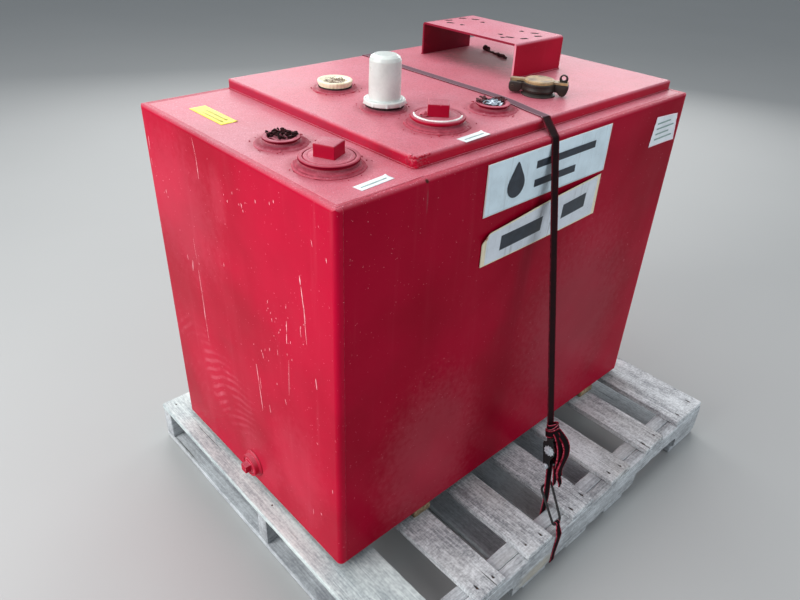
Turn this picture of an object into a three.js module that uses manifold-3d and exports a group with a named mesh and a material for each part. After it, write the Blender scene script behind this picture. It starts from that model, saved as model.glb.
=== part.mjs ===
// Double-walled oil tank strapped to a notched timber skid.
// Millimetres, +Z up, X along the tank, signs on the -Y face, drain on the -X end.
import * as THREE from "three";
import { mergeVertices } from "three/addons/utils/BufferGeometryUtils.js";
import Module from "manifold-3d";

const wasm = await Module();
wasm.setup();
const { Manifold, Mesh } = wasm;

const SKID_HALF_X = 609.5;
const SKID_HALF_Y = 508;
const BOTTOM_TOP = 16;
const STRINGER_TOP = 105;
const BOARD_TOP = 121;
const BOARD_WIDE = 139.5;
const BOARD_NARROW = 89;
const BOARD_GAP = 82.5;
const BOARD_COUNT = 7;
const BOTTOM_NARROW = 88;
const BOTTOM_PITCH = 172;
const FRONT_OUT = -510;
const FRONT_JOIN = -478;
const FRONT_IN = -441;
const MIDDLE_HALF = 19;
const BACK_IN = 470;
const NOTCH_CENTRE = 374;
const NOTCH_HALF = 112;
const NOTCH_TOP = 54;
const NOTCH_ROUND = 14;

const BEARER_TOP = 139;
const BEARER_LEFT = [-342, -289];
const BEARER_RIGHT = [342, 400];
const BEARER_FRONT = -258;
const BEARER_BACK = 424;

const TANK = { x0: -565, x1: 535, y0: -255, y1: 422, z0: BEARER_TOP, z1: 995 };
const SHEET = 4;
const CORNER_ROUND = 12;
const TOP_ROUND = 8;
const TOP_ROUND_REAR = 4;
const RETURN = 16;

const PAN = { x0: -353, x1: 529, y0: -208.5, y1: 418, z0: TANK.z1, z1: 1017 };
const PAN_ROUND = 10;
const LEDGE = 20;

const BORE = 26;
const DECK_VENT = [-461, 41];
const SPACE_VENT = [-460, -105];
const RETURN_PORT = [-202, 210];
const GAUGE_PORT = [-207, 38];
const RELIEF_PORT = [-194, -104];
const SPARE_PORT = [-27, -101];
const FILL_PORT = [145, -88];

const BRACKET = { x0: 194.5, x1: 378.5, y0: 27, y1: 342, top: 1098, plate: 5, bend: 8 };
// Each slot: centre x, centre y, direction in degrees.
const BRACKET_SLOTS = [
  [268.7, 321, -24],
  [246.9, 293.3, -60],
  [321.9, 320, -24],
  [340.7, 290.9, -60],
  [242.1, 88.2, -60],
  [260.6, 58, -24],
  [335.8, 84.3, -45],
  [313.4, 56.9, -24],
];
const BRACKET_ROUNDS = [
  [254.1, 258.4],
  [327.9, 252.3],
  [250, 123.9],
  [226, 97.4],
  [326, 118.8],
];
const SLOT_LENGTH = 17;
const SLOT_WIDTH = 6.5;
const ROUND_RADIUS = 4;

const DRAIN_Y = 83.5;
const DRAIN_Z = 191;

const SIGN_X = [-210, 201];
const SIGN_Z = [876, 984];
const SIGN_THICK = 1;
const LOWER_SIGN = [
  [-204, 765],
  [194, 771],
  [194, 869],
  [20, 860],
  [-204, 835],
];

// Fill cap, drawn along +X before it is turned; heights are above the raised top.
const CAP_TURN = Math.atan2(-0.862, 0.507);
const CAP = { radius: 35.5, base: 7, baseRadius: 33, shoulder: 10, top: 27 };
const HINGE_EAR = { reach: 65, root: 30, half: 15, low: 9, high: 25 };
const LOCK_EAR = { reach: 63, root: 30, half: 9, low: 10 };
const PIN = { reach: -58, height: 17, radius: 3, half: 17, headRadius: 5, headDeep: 2 };
const KNUCKLE = { radius: 7, half: 7 };
const LID = { radius: 34, top: 33, chamfer: 3, edge: 1, tabRoot: 20, tabHalf: 11, slotFrom: 40.8, slotHalf: 4 };
const EYE = { reach: 52, height: 39, radius: 9.7, holeHeight: 41, hole: 5, half: 3, footHalf: 8, footLow: 23 };
const PLAY = 0.5;

const HEAD_HALF = 20;
const HEAD_LOW = 10;
const HEAD_TOP = 44;
const SPACE_HEAD_TURN = 35;
const RELIEF_HEAD_TURN = 45;
const DRAIN_HEAD = { half: 10, from: 10, to: 32 };

// Webbing. Its middle line stands off each surface by STRAP_OFF.
const STRAP_WIDTH = 25;
const STRAP_THICK = 1.6;
const STRAP_LIFT = 0.5;
const STRAP_OFF = STRAP_LIFT + STRAP_THICK / 2;
const EDGE_REACH = TOP_ROUND + STRAP_OFF;
const REAR_REACH = TOP_ROUND_REAR + STRAP_OFF;
const ON_PAN = PAN.z1 + STRAP_OFF;
// Direction in which it falls from the tank's front edge to the ratchet.
const STRAP_FALL = [-72, -212, -912];
const FRONT_EDGE_X = [-6, -8];
const PAN_EDGE_X = [23, 21];
const REAR_EDGE_X = 60;
// Degrees round the tank's rear edge and the raised top's, where the strap touches them.
const REAR_DOWN = 6.1;
const REAR_TURN = 12.2;
const HANG_X = 86;
const HANG_TOP = [85, 0.6];
const ROUTE_ON_PAN = [
  [57.5, 340],
  [55, 276],
  [53.5, 180],
  [52.5, 90],
  [52, 0],
  [50.5, -45],
  [46, -87],
  [37.5, -125],
  [30, -160],
];

// Ratchet, drawn upright: X across, Y outward, Z down the strap. Its origin is on the strap at this height.
const RATCHET_Z = 316;
const SPOOL = { y: 11, z: 15, radius: 7.8, end: 15.8, roll: 11.8, rollHalf: 12.5 };
const STUB = { radius: 5, end: 23, capRadius: 7 };
const PLATES = [13.5, 15.5];
const PLATE_OUTLINE = [
  [-7, -3],
  [6, -3],
  [22, 5],
  [22, 26],
  [11, 44],
  [8, 66],
  [3, 71],
  [-5, 71],
  [-8, 66],
  [-9, 4],
];
const ARMS = [16, 18];
const ARM = { low: 5, high: 19, end: -15, round: 12 };
const WHEELS = [18.5, 20.5];
const WHEEL = { tip: 14, root: 11, teeth: 11, lean: 1 / 8 };
const GRIP = { y: 12, z: -10, radius: 4.5 };
const BOLT = { z: 62, radius: 4, end: 20, headRadius: 6.5 };
const REAR_BAR = { y: -5.5, z: 4, radius: 2.5 };
const PAWL = [2, 4, 36, 48];

// Loose end: a wrap round the strap, then two folded lengths as [x, y, z, width] in the ratchet's frame.
const WRAP = [-22, 22, -6, 18, -47, -18];
const WRAP_GAP = 0.1;
const FOLD_THICK = 5;
const OUTER_FOLD = [
  [6, 13, -30, 22],
  [10, 23, -18, 22],
  [14, 31.5, -4, 22],
  [17, 34.5, 14, 22],
  [17, 32.5, 34, 22],
  [15, 26, 54, 21],
  [14, 19, 74, 18],
  [17, 13, 92, 17],
  [23, 11, 110, 16],
  [29, 12, 126, 14],
  [26, 12, 140, 9],
];
const INNER_FOLD = [
  [-2, 13, -30, 20],
  [-2, 21, -22, 20],
  [0, 25.5, -8, 22],
  [2, 27, 10, 22],
  [3, 26, 30, 20],
  [4, 21, 52, 18],
  [6, 16, 72, 15],
];

// Short strap's places at each stretch, [x, z], and its width where the wood or the hook narrows it.
const TAIL_LEAVES = [-71.5, 0.4, 150];
const TAIL_INNER = [[-73, STRINGER_TOP], [-76, 30]];
const TAIL_UNDER = [[-77, 23], [-111, 17]];
const TAIL_OUTER = [[-111, 40, 16], [-107, 80, 22]];
const TAIL_OVER = { x: -104, width: 22, from: 180, to: 125 };
const TAIL_END = [3.2, 3];

// Wire hooks
const HOOK_RADIUS = 3;
const HOOK_BEND = 5;
const RING_BEND = 9;
const HOOK_BAR_Z = 52;
const HOOK_HALF = 17;
const HOOK_TIP_Z = 40;
const HOOK_PLAY = 0.6;
const EYE_GAP = 0.5;
const EYE_WIDTH = 13;
const HOOK_BAR_Y = SKID_HALF_Y + STRAP_OFF + HOOK_RADIUS + EYE_GAP + STRAP_THICK / 2;
const HOOK_EYE = [-99, -496, 133];
const HOOK_TOP = [-66.5, -428.4, 186];
const RING_LOW_HALF = 14;
const RING_TOP_HALF = 19;

const ARC_STEPS = 6;
const RING_STEPS = 40;
const SMALL_STEPS = 24;
const WIRE_STEPS = 10;

const steel = new THREE.MeshStandardMaterial({ color: 0xb3202f, roughness: 0.4, name: "red_paint" });
const wood = new THREE.MeshStandardMaterial({ color: 0x9a8f84, roughness: 0.9, name: "grey_wood" });
const packer = new THREE.MeshStandardMaterial({ color: 0xb08a5e, roughness: 0.9, name: "tan_wood" });
const bronze = new THREE.MeshStandardMaterial({ color: 0x4a4038, roughness: 0.5, name: "bronze" });
const gold = new THREE.MeshStandardMaterial({ color: 0xb39a68, roughness: 0.5, name: "lid_metal" });
const cream = new THREE.MeshStandardMaterial({ color: 0xe0d2b4, roughness: 0.5, name: "cream_plastic" });
const white = new THREE.MeshStandardMaterial({ color: 0xe6e8ea, roughness: 0.4, name: "white_plastic" });
const board = new THREE.MeshStandardMaterial({ color: 0xd5dde2, roughness: 0.5, name: "sign_board" });
const webbing = new THREE.MeshStandardMaterial({ color: 0x2a2830, roughness: 0.9, name: "webbing" });
const zinc = new THREE.MeshStandardMaterial({ color: 0xa8a8a8, roughness: 0.4, name: "zinc_steel" });
const black = new THREE.MeshStandardMaterial({ color: 0x1c1a1c, roughness: 0.5, name: "black_steel" });

// Exact quarter turns, so that flat faces keep whole coordinates.
const STAND_ON_Y = new THREE.Matrix4().set(1, 0, 0, 0, 0, 0, -1, 0, 0, 1, 0, 0, 0, 0, 0, 1);
const STAND_ON_X = new THREE.Matrix4().set(0, 0, 1, 0, 1, 0, 0, 0, 0, 1, 0, 0, 0, 0, 0, 1);

function solid(geometry) {
  const bare = new THREE.BufferGeometry();
  bare.setAttribute("position", geometry.getAttribute("position"));
  if (geometry.index) {
    bare.setIndex(geometry.index);
  }
  const merged = mergeVertices(bare, 1e-4);
  const vertProperties = new Float32Array(merged.getAttribute("position").array);
  const triVerts = new Uint32Array(merged.index.array);
  return new Manifold(new Mesh({ numProp: 3, vertProperties, triVerts }));
}

function surface(body) {
  const mesh = body.getMesh();
  const geometry = new THREE.BufferGeometry();
  geometry.setAttribute("position", new THREE.BufferAttribute(new Float32Array(mesh.vertProperties), 3));
  geometry.setIndex(new THREE.BufferAttribute(new Uint32Array(mesh.triVerts), 1));
  return geometry;
}

function block(x0, x1, y0, y1, z0, z1) {
  const geometry = new THREE.BoxGeometry(x1 - x0, y1 - y0, z1 - z0);
  geometry.translate((x0 + x1) / 2, (y0 + y1) / 2, (z0 + z1) / 2);
  return solid(geometry);
}

// Closed (radius, height) outline turned about +Z through (x, y, z).
function turned([x, y], z, outline, steps = RING_STEPS) {
  const points = outline.map(([r, h]) => new THREE.Vector2(r, h));
  const geometry = new THREE.LatheGeometry(points, steps);
  geometry.applyMatrix4(STAND_ON_Y);
  geometry.translate(x, y, z);
  return upright(solid(geometry));
}

// A body that came out inside out is turned the right way.
function upright(body) {
  if (body.volume() > 0) {
    return body;
  }
  const mesh = body.getMesh();
  const triVerts = new Uint32Array(mesh.triVerts.length);
  for (let i = 0; i < triVerts.length; i += 3) {
    triVerts[i] = mesh.triVerts[i];
    triVerts[i + 1] = mesh.triVerts[i + 2];
    triVerts[i + 2] = mesh.triVerts[i + 1];
  }
  return new Manifold(new Mesh({ numProp: 3, vertProperties: mesh.vertProperties, triVerts }));
}

function extruded(shape, depth) {
  return new THREE.ExtrudeGeometry(shape, { depth, bevelEnabled: false, curveSegments: ARC_STEPS });
}

// Flat outline drawn in XY, raised along +Z from z0 to z1.
function raised(shape, z0, z1) {
  const geometry = extruded(shape, z1 - z0);
  geometry.translate(0, 0, z0);
  return solid(geometry);
}

// Outline drawn in (X, Z), raised along Y from y0 to y1.
function raisedAlongY(shape, y0, y1) {
  const geometry = extruded(shape, y1 - y0);
  geometry.applyMatrix4(STAND_ON_Y);
  geometry.translate(0, y1, 0);
  return solid(geometry);
}

// Outline drawn in (Y, Z), raised along X from x0 to x1.
function raisedAlongX(shape, x0, x1) {
  const geometry = extruded(shape, x1 - x0);
  geometry.applyMatrix4(STAND_ON_X);
  geometry.translate(x0, 0, 0);
  return solid(geometry);
}

// Rectangle with its own radius at each corner: low left, low right, high right, high left.
function rounded(a0, a1, b0, b1, [ll, lr, hr, hl]) {
  const shape = new THREE.Shape();
  shape.moveTo(a0 + ll, b0);
  shape.lineTo(a1 - lr, b0);
  if (lr > 0) {
    shape.absarc(a1 - lr, b0 + lr, lr, -Math.PI / 2, 0, false);
  }
  shape.lineTo(a1, b1 - hr);
  if (hr > 0) {
    shape.absarc(a1 - hr, b1 - hr, hr, 0, Math.PI / 2, false);
  }
  shape.lineTo(a0 + hl, b1);
  if (hl > 0) {
    shape.absarc(a0 + hl, b1 - hl, hl, Math.PI / 2, Math.PI, false);
  }
  shape.lineTo(a0, b0 + ll);
  if (ll > 0) {
    shape.absarc(a0 + ll, b0 + ll, ll, Math.PI, Math.PI * 1.5, false);
  }
  return shape;
}

const root = new THREE.Group();

function add(name, body, material) {
  const mesh = new THREE.Mesh(surface(body), material);
  mesh.name = name;
  root.add(mesh);
}

// Skid

function boardEdges() {
  const edges = [];
  let x = -SKID_HALF_X;
  for (let i = 0; i < BOARD_COUNT; i += 1) {
    const wide = i === 0 || i === BOARD_COUNT - 1 ? BOARD_WIDE : BOARD_NARROW;
    edges.push([x, x + wide]);
    x += wide + BOARD_GAP;
  }
  return edges;
}

function stringer(y0, y1) {
  const body = block(-SKID_HALF_X, SKID_HALF_X, y0, y1, BOTTOM_TOP, STRINGER_TOP);
  const below = BOTTOM_TOP - NOTCH_ROUND;
  const cuts = [-NOTCH_CENTRE, NOTCH_CENTRE].map((x) => {
    const radii = [0, 0, NOTCH_ROUND, NOTCH_ROUND];
    const shape = rounded(x - NOTCH_HALF, x + NOTCH_HALF, below, NOTCH_TOP, radii);
    return raisedAlongY(shape, y0 - 1, y1 + 1);
  });
  return body.subtract(cuts[0]).subtract(cuts[1]);
}

boardEdges().forEach(([x0, x1], i) => {
  add(`deck_board_${i + 1}`, block(x0, x1, -SKID_HALF_Y, SKID_HALF_Y, STRINGER_TOP, BOARD_TOP), wood);
});
add("stringer_front_companion", stringer(FRONT_OUT, FRONT_JOIN), wood);
add("stringer_front", stringer(FRONT_JOIN, FRONT_IN), wood);
add("stringer_middle", stringer(-MIDDLE_HALF, MIDDLE_HALF), wood);
add("stringer_back", stringer(BACK_IN, SKID_HALF_Y), wood);

const bottomBoards = [
  [-SKID_HALF_X, -SKID_HALF_X + BOARD_WIDE],
  [-BOTTOM_PITCH - BOTTOM_NARROW / 2, -BOTTOM_PITCH + BOTTOM_NARROW / 2],
  [-BOTTOM_NARROW / 2, BOTTOM_NARROW / 2],
  [BOTTOM_PITCH - BOTTOM_NARROW / 2, BOTTOM_PITCH + BOTTOM_NARROW / 2],
  [SKID_HALF_X - BOARD_WIDE, SKID_HALF_X],
];
bottomBoards.forEach(([x0, x1], i) => {
  add(`bottom_board_${i + 1}`, block(x0, x1, -SKID_HALF_Y, SKID_HALF_Y, 0, BOTTOM_TOP), wood);
});
add("bearer_left", block(...BEARER_LEFT, BEARER_FRONT, BEARER_BACK, BOARD_TOP, BEARER_TOP), packer);
add("bearer_right", block(...BEARER_RIGHT, BEARER_FRONT, BEARER_BACK, BOARD_TOP, BEARER_TOP), packer);

// Tank shell: one bent-sheet body, parted into its panels

function shellBody(inset) {
  const x0 = TANK.x0 + inset;
  const x1 = TANK.x1 - inset;
  const y0 = TANK.y0 + inset;
  const y1 = TANK.y1 - inset;
  const z0 = TANK.z0 + inset;
  const z1 = TANK.z1 - inset;
  const corner = CORNER_ROUND - inset;
  const front = TOP_ROUND - inset;
  const rear = TOP_ROUND_REAR - inset;
  const plan = raised(rounded(x0, x1, y0, y1, [corner, corner, corner, corner]), z0, z1);
  const across = raisedAlongX(rounded(y0, y1, z0, z1, [0, 0, rear, front]), x0, x1);
  const along = raisedAlongY(rounded(x0, x1, z0, z1, [0, 0, rear, front]), y0, y1);
  return plan.intersect(across).intersect(along);
}

const shell = shellBody(0).subtract(shellBody(SHEET));
const endLeft = TANK.x0 + RETURN;
const endRight = TANK.x1 - RETURN;
const wallFront = TANK.y0 + RETURN;
const wallBack = TANK.y1 - RETURN;
const over = RETURN;

function shellPart(x0, x1, y0, y1, z0, z1) {
  return shell.intersect(block(x0, x1, y0, y1, z0, z1));
}

const xLow = TANK.x0 - over;
const xHigh = TANK.x1 + over;
const yLow = TANK.y0 - over;
const yHigh = TANK.y1 + over;
const zLow = TANK.z0 - over;
const zHigh = TANK.z1 + over;
const zHalf = (TANK.z0 + TANK.z1) / 2;

const panHole = block(PAN.x0 + LEDGE, PAN.x1 - LEDGE, PAN.y0 + LEDGE, PAN.y1 - LEDGE, zHalf, zHigh);
const ventBore = turned(DECK_VENT, zHalf, [[0, 0], [BORE, 0], [BORE, zHigh - zHalf], [0, zHigh - zHalf]]);
const deckSheet = shellPart(endLeft, endRight, wallFront, wallBack, zHalf, zHigh);
const deck = deckSheet.subtract(panHole).subtract(ventBore);

add("tank_left_end", shellPart(xLow, endLeft, yLow, yHigh, zLow, zHigh), steel);
add("tank_right_end", shellPart(endRight, xHigh, yLow, yHigh, zLow, zHigh), steel);
add("tank_front_wall", shellPart(endLeft, endRight, yLow, wallFront, zLow, zHigh), steel);
add("tank_back_wall", shellPart(endLeft, endRight, wallBack, yHigh, zLow, zHigh), steel);
add("tank_floor", shellPart(endLeft, endRight, wallFront, wallBack, zLow, zHalf), steel);
add("tank_deck", deck, steel);

// Raised top of the inner tank, a shallow tray upside down

function panBody(inset) {
  const x0 = PAN.x0 + inset;
  const x1 = PAN.x1 - inset;
  const y0 = PAN.y0 + inset;
  const y1 = PAN.y1 - inset;
  const z1 = PAN.z1 - inset;
  const z0 = inset > 0 ? PAN.z0 - inset : PAN.z0;
  const corner = PAN_ROUND - inset;
  const edge = TOP_ROUND - inset;
  const plan = raised(rounded(x0, x1, y0, y1, [corner, corner, corner, corner]), z0, z1);
  const across = raisedAlongX(rounded(y0, y1, z0, z1, [0, 0, edge, edge]), x0, x1);
  const along = raisedAlongY(rounded(x0, x1, z0, z1, [0, 0, edge, edge]), y0, y1);
  return plan.intersect(across).intersect(along);
}

const spareBore = turned(SPARE_PORT, PAN.z0, [[0, 0], [BORE, 0], [BORE, over * 2], [0, over * 2]]);
add("inner_tank_top", panBody(0).subtract(panBody(SHEET)).subtract(spareBore), steel);

// Screwed collars: weld fillet, narrow neck, wider rim

const openCollar = [
  [BORE, 0],
  [53, 0],
  [54, 1.5],
  [41, 4],
  [33.5, 5],
  [32.5, 9],
  [36.5, 10.5],
  [36.5, 13],
  [35.5, 14.25],
  [27, 14.25],
  [BORE, 13.25],
  [BORE, 0],
];
add("deck_vent_collar", turned(DECK_VENT, TANK.z1, openCollar), steel);
add("spare_collar", turned(SPARE_PORT, PAN.z1, openCollar), steel);

const ventRing = [
  [47, 0],
  [66, 0],
  [67, 1],
  [66.5, 3],
  [55, 8],
  [51, 11],
  [51.5, 13],
  [54.5, 14],
  [55, 18],
  [53.5, 20],
  [48, 20],
  [47, 19],
  [47, 0],
];
const ventPlug = [
  [0, 2],
  [46.5, 2],
  [46.5, 18],
  [44, 21],
  [0, 21],
  [0, 2],
];
function squareHead([x, y], z, turn) {
  const geometry = new THREE.BoxGeometry(HEAD_HALF * 2, HEAD_HALF * 2, HEAD_TOP - HEAD_LOW);
  geometry.rotateZ(THREE.MathUtils.degToRad(turn));
  geometry.translate(x, y, z + (HEAD_LOW + HEAD_TOP) / 2);
  return solid(geometry);
}

function bung(at, z, turn) {
  return turned(at, z, ventPlug).add(squareHead(at, z, turn));
}

add("interstitial_vent_ring", turned(SPACE_VENT, TANK.z1, ventRing), steel);
add("interstitial_vent_plug", bung(SPACE_VENT, TANK.z1, SPACE_HEAD_TURN), steel);
add("emergency_vent_ring", turned(RELIEF_PORT, PAN.z1, ventRing), steel);
add("emergency_vent_plug", bung(RELIEF_PORT, PAN.z1, RELIEF_HEAD_TURN), steel);

const lowCollar = [
  [BORE, 0],
  [52, 0],
  [53, 1.5],
  [40, 4],
  [31, 5],
  [30.5, 6],
  [BORE, 6],
  [BORE, 0],
];
const returnPlug = [
  [0, 6.5],
  [33, 6.5],
  [36, 8],
  [39, 17],
  [39, 19],
  [38, 20],
  [35.5, 20],
  [33, 17.5],
  [16, 14.5],
  [0, 14],
  [0, 6.5],
];
add("return_collar", turned(RETURN_PORT, PAN.z1, lowCollar), steel);
add("return_plug", turned(RETURN_PORT, PAN.z1, returnPlug), cream);

const gaugeCap = [
  [0, 6.5],
  [34, 6.5],
  [34, 8],
  [43, 8],
  [44, 10],
  [44, 22],
  [43, 24],
  [33, 25],
  [33, 98],
  [30, 104],
  [24, 108],
  [0, 108],
  [0, 6.5],
];
add("gauge_collar", turned(GAUGE_PORT, PAN.z1, lowCollar), steel);
add("gauge_cap", turned(GAUGE_PORT, PAN.z1, gaugeCap), white);

// Fill cap: body with two ears, hinged lid over it, padlock eye

// Cap pieces are drawn along +X and turned to the cap's own direction.
function capPlaced(body) {
  const [x, y] = FILL_PORT;
  const cos = Math.cos(CAP_TURN);
  const sin = Math.sin(CAP_TURN);
  return body.transform([cos, sin, 0, 0, -sin, cos, 0, 0, 0, 0, 1, 0, x, y, PAN.z1, 1]);
}

// Round bar lying across the cap, along its own Y.
function crossBar(x, z, radius, half) {
  const geometry = new THREE.CylinderGeometry(radius, radius, half * 2, SMALL_STEPS);
  geometry.translate(x, 0, z);
  return solid(geometry);
}

const fillCollar = [
  [BORE, 0],
  [38, 0],
  [38.5, 2],
  [33, 4],
  [31, 6.5],
  [BORE, 6.5],
  [BORE, 0],
];
add("fill_collar", turned(FILL_PORT, PAN.z1, fillCollar), black);

function capDrum() {
  return turned([0, 0], 0, [
    [0, CAP.base],
    [CAP.baseRadius, CAP.base],
    [CAP.radius, CAP.shoulder],
    [CAP.radius, CAP.top],
    [0, CAP.top],
    [0, CAP.base],
  ]);
}

function capBody() {
  const { reach, root, half, low, high } = HINGE_EAR;
  const hingeEar = block(-reach, -root, -half, half, low, high);
  const lockEar = block(LOCK_EAR.root, LOCK_EAR.reach, -LOCK_EAR.half, LOCK_EAR.half, LOCK_EAR.low, CAP.top);
  const eye = crossBar(EYE.reach, EYE.height, EYE.radius, EYE.half);
  const footTo = EYE.reach + EYE.footHalf;
  const eyeFoot = block(EYE.reach - EYE.footHalf, footTo, -EYE.half, EYE.half, EYE.footLow, EYE.height - 2);
  const eyeHole = crossBar(EYE.reach, EYE.holeHeight, EYE.hole, EYE.half * 2);
  const room = KNUCKLE.radius + PLAY;
  const roomHalf = KNUCKLE.half + PLAY;
  const slot = block(-reach * 2, PIN.reach + room, -roomHalf, roomHalf, 0, CAP.top);
  const slotRound = crossBar(PIN.reach, PIN.height, room, roomHalf);
  const pinHole = crossBar(PIN.reach, PIN.height, PIN.radius + PLAY, half * 2);
  const body = capDrum().add(hingeEar).add(lockEar).add(eye).add(eyeFoot);
  return body.subtract(eyeHole).subtract(slot).subtract(slotRound).subtract(pinHole);
}

function capLid() {
  const low = CAP.top + PLAY;
  const flat = LID.top - LID.edge;
  const disc = turned([0, 0], 0, [
    [0, low],
    [LID.radius, low],
    [LID.radius, flat],
    [LID.radius - LID.chamfer, LID.top],
    [0, LID.top],
    [0, low],
  ]);
  const tab = block(LID.tabRoot, LOCK_EAR.reach, -LID.tabHalf, LID.tabHalf, low, flat);
  const tabSlot = block(LID.slotFrom, LOCK_EAR.reach * 2, -LID.slotHalf, LID.slotHalf, 0, LID.top * 2);
  const from = PIN.reach - KNUCKLE.radius;
  const to = PIN.reach + KNUCKLE.radius;
  const arm = block(from, -LID.tabRoot, -KNUCKLE.half, KNUCKLE.half, low, flat);
  const drop = block(from, to, -KNUCKLE.half, KNUCKLE.half, PIN.height, low + 1);
  const knuckle = crossBar(PIN.reach, PIN.height, KNUCKLE.radius, KNUCKLE.half);
  const bore = crossBar(PIN.reach, PIN.height, PIN.radius + PLAY, KNUCKLE.half * 2);
  return disc.add(tab).subtract(tabSlot).add(arm).add(drop).add(knuckle).subtract(bore);
}

function capPin() {
  const geometry = new THREE.CylinderGeometry(PIN.headRadius, PIN.headRadius, PIN.headDeep, SMALL_STEPS);
  geometry.translate(PIN.reach, PIN.half, PIN.height);
  return crossBar(PIN.reach, PIN.height, PIN.radius, PIN.half).add(solid(geometry));
}

add("fill_cap_body", capPlaced(capBody()), bronze);
add("fill_cap_lid", capPlaced(capLid()), gold);
add("fill_cap_pin", capPlaced(capPin()), bronze);

// Pump bracket: one bent plate, open right through along X

function pumpBracket() {
  const { x0, x1, y0, y1, top, plate, bend } = BRACKET;
  const outer = raisedAlongX(rounded(y0, y1, PAN.z1, top, [0, 0, bend, bend]), x0, x1);
  const inner = bend - plate;
  const gap = rounded(y0 + plate, y1 - plate, PAN.z1 - plate, top - plate, [0, 0, inner, inner]);
  let body = outer.subtract(raisedAlongX(gap, x0 - 1, x1 + 1));
  const z0 = top - plate * 2;
  const height = plate * 3;
  const half = (SLOT_LENGTH - SLOT_WIDTH) / 2;
  const radius = SLOT_WIDTH / 2;
  for (const [x, y, degrees] of BRACKET_SLOTS) {
    const turn = THREE.MathUtils.degToRad(degrees);
    const dx = half * Math.cos(turn);
    const dy = half * Math.sin(turn);
    const shape = new THREE.Shape();
    shape.absarc(x + dx, y + dy, radius, turn - Math.PI / 2, turn + Math.PI / 2, false);
    shape.absarc(x - dx, y - dy, radius, turn + Math.PI / 2, turn + Math.PI * 1.5, false);
    body = body.subtract(raised(shape, z0, z0 + height));
  }
  for (const at of BRACKET_ROUNDS) {
    const drill = [[0, 0], [ROUND_RADIUS, 0], [ROUND_RADIUS, height], [0, height]];
    body = body.subtract(turned(at, z0, drill, SMALL_STEPS));
  }
  return body;
}

add("pump_bracket", pumpBracket(), steel);

// Drain on the left end, low down: stepped ring and a square-headed plug

function turnedOnEnd(y, z, outline, steps = RING_STEPS) {
  const points = outline.map(([r, h]) => new THREE.Vector2(r, h));
  const geometry = new THREE.LatheGeometry(points, steps);
  const lay = new THREE.Matrix4().set(0, -1, 0, 0, 1, 0, 0, 0, 0, 0, 1, 0, 0, 0, 0, 1);
  geometry.applyMatrix4(lay);
  geometry.translate(TANK.x0, y, z);
  return upright(solid(geometry));
}

add("drain_collar", turnedOnEnd(DRAIN_Y, DRAIN_Z, [
  [22, 0],
  [36, 0],
  [36.5, 2],
  [31, 5],
  [29, 6],
  [29, 16],
  [28, 17],
  [22, 17],
  [22, 0],
]), steel);
const drainPlug = turnedOnEnd(DRAIN_Y, DRAIN_Z, [[0, 1], [21.5, 1], [21.5, 15], [20, 16.5], [0, 16.5], [0, 1]]);
const plugHead = block(
  TANK.x0 - DRAIN_HEAD.to,
  TANK.x0 - DRAIN_HEAD.from,
  DRAIN_Y - DRAIN_HEAD.half,
  DRAIN_Y + DRAIN_HEAD.half,
  DRAIN_Z - DRAIN_HEAD.half,
  DRAIN_Z + DRAIN_HEAD.half,
);
add("drain_plug", drainPlug.add(plugHead), steel);

// Signs: thin sheets on the front wall, the lower one cut to a slanting top edge

add("sign_upper", block(...SIGN_X, TANK.y0 - SIGN_THICK, TANK.y0, ...SIGN_Z), board);

function lowerSign() {
  return raisedAlongY(outlined(LOWER_SIGN), TANK.y0 - SIGN_THICK, TANK.y0);
}

add("sign_lower", lowerSign(), board);

// Tie-down strap: flat webbing over the tank, ratchet in front, wire hooks at the skid

const LINE = new THREE.Vector3(...STRAP_FALL).normalize();
const ACROSS = new THREE.Vector3(1, 0, 0).addScaledVector(LINE, -LINE.x).normalize();
const OUTWARD = new THREE.Vector3().crossVectors(LINE, ACROSS);

// Flat band through stations of { at, wide, width, thick }; a sheared one keeps its width line as given.
function ribbon(stations) {
  const count = stations.length;
  const positions = [];
  const index = [];
  stations.forEach(({ at, wide, width = STRAP_WIDTH, thick = STRAP_THICK, sheared = false }, i) => {
    const before = stations[Math.max(i - 1, 0)].at;
    const after = stations[Math.min(i + 1, count - 1)].at;
    const along = after.clone().sub(before).normalize();
    const lean = sheared ? 0 : -wide.dot(along);
    const side = wide.clone().addScaledVector(along, lean).normalize();
    const face = new THREE.Vector3().crossVectors(side, along).normalize();
    for (const [a, b] of [[1, 1], [-1, 1], [-1, -1], [1, -1]]) {
      const corner = at.clone().addScaledVector(side, a * width / 2).addScaledVector(face, b * thick / 2);
      positions.push(corner.x, corner.y, corner.z);
    }
    if (i > 0) {
      for (let k = 0; k < 4; k += 1) {
        const a = (i - 1) * 4 + k;
        const b = (i - 1) * 4 + (k + 1) % 4;
        index.push(a, b, b + 4, a, b + 4, a + 4);
      }
    }
  });
  const last = (count - 1) * 4;
  index.push(0, 2, 1, 0, 3, 2, last, last + 1, last + 2, last, last + 2, last + 3);
  return closedBody(positions, index);
}

function closedBody(positions, index) {
  const geometry = new THREE.BufferGeometry();
  geometry.setAttribute("position", new THREE.Float32BufferAttribute(positions, 3));
  geometry.setIndex(index);
  return upright(solid(geometry));
}

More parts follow.
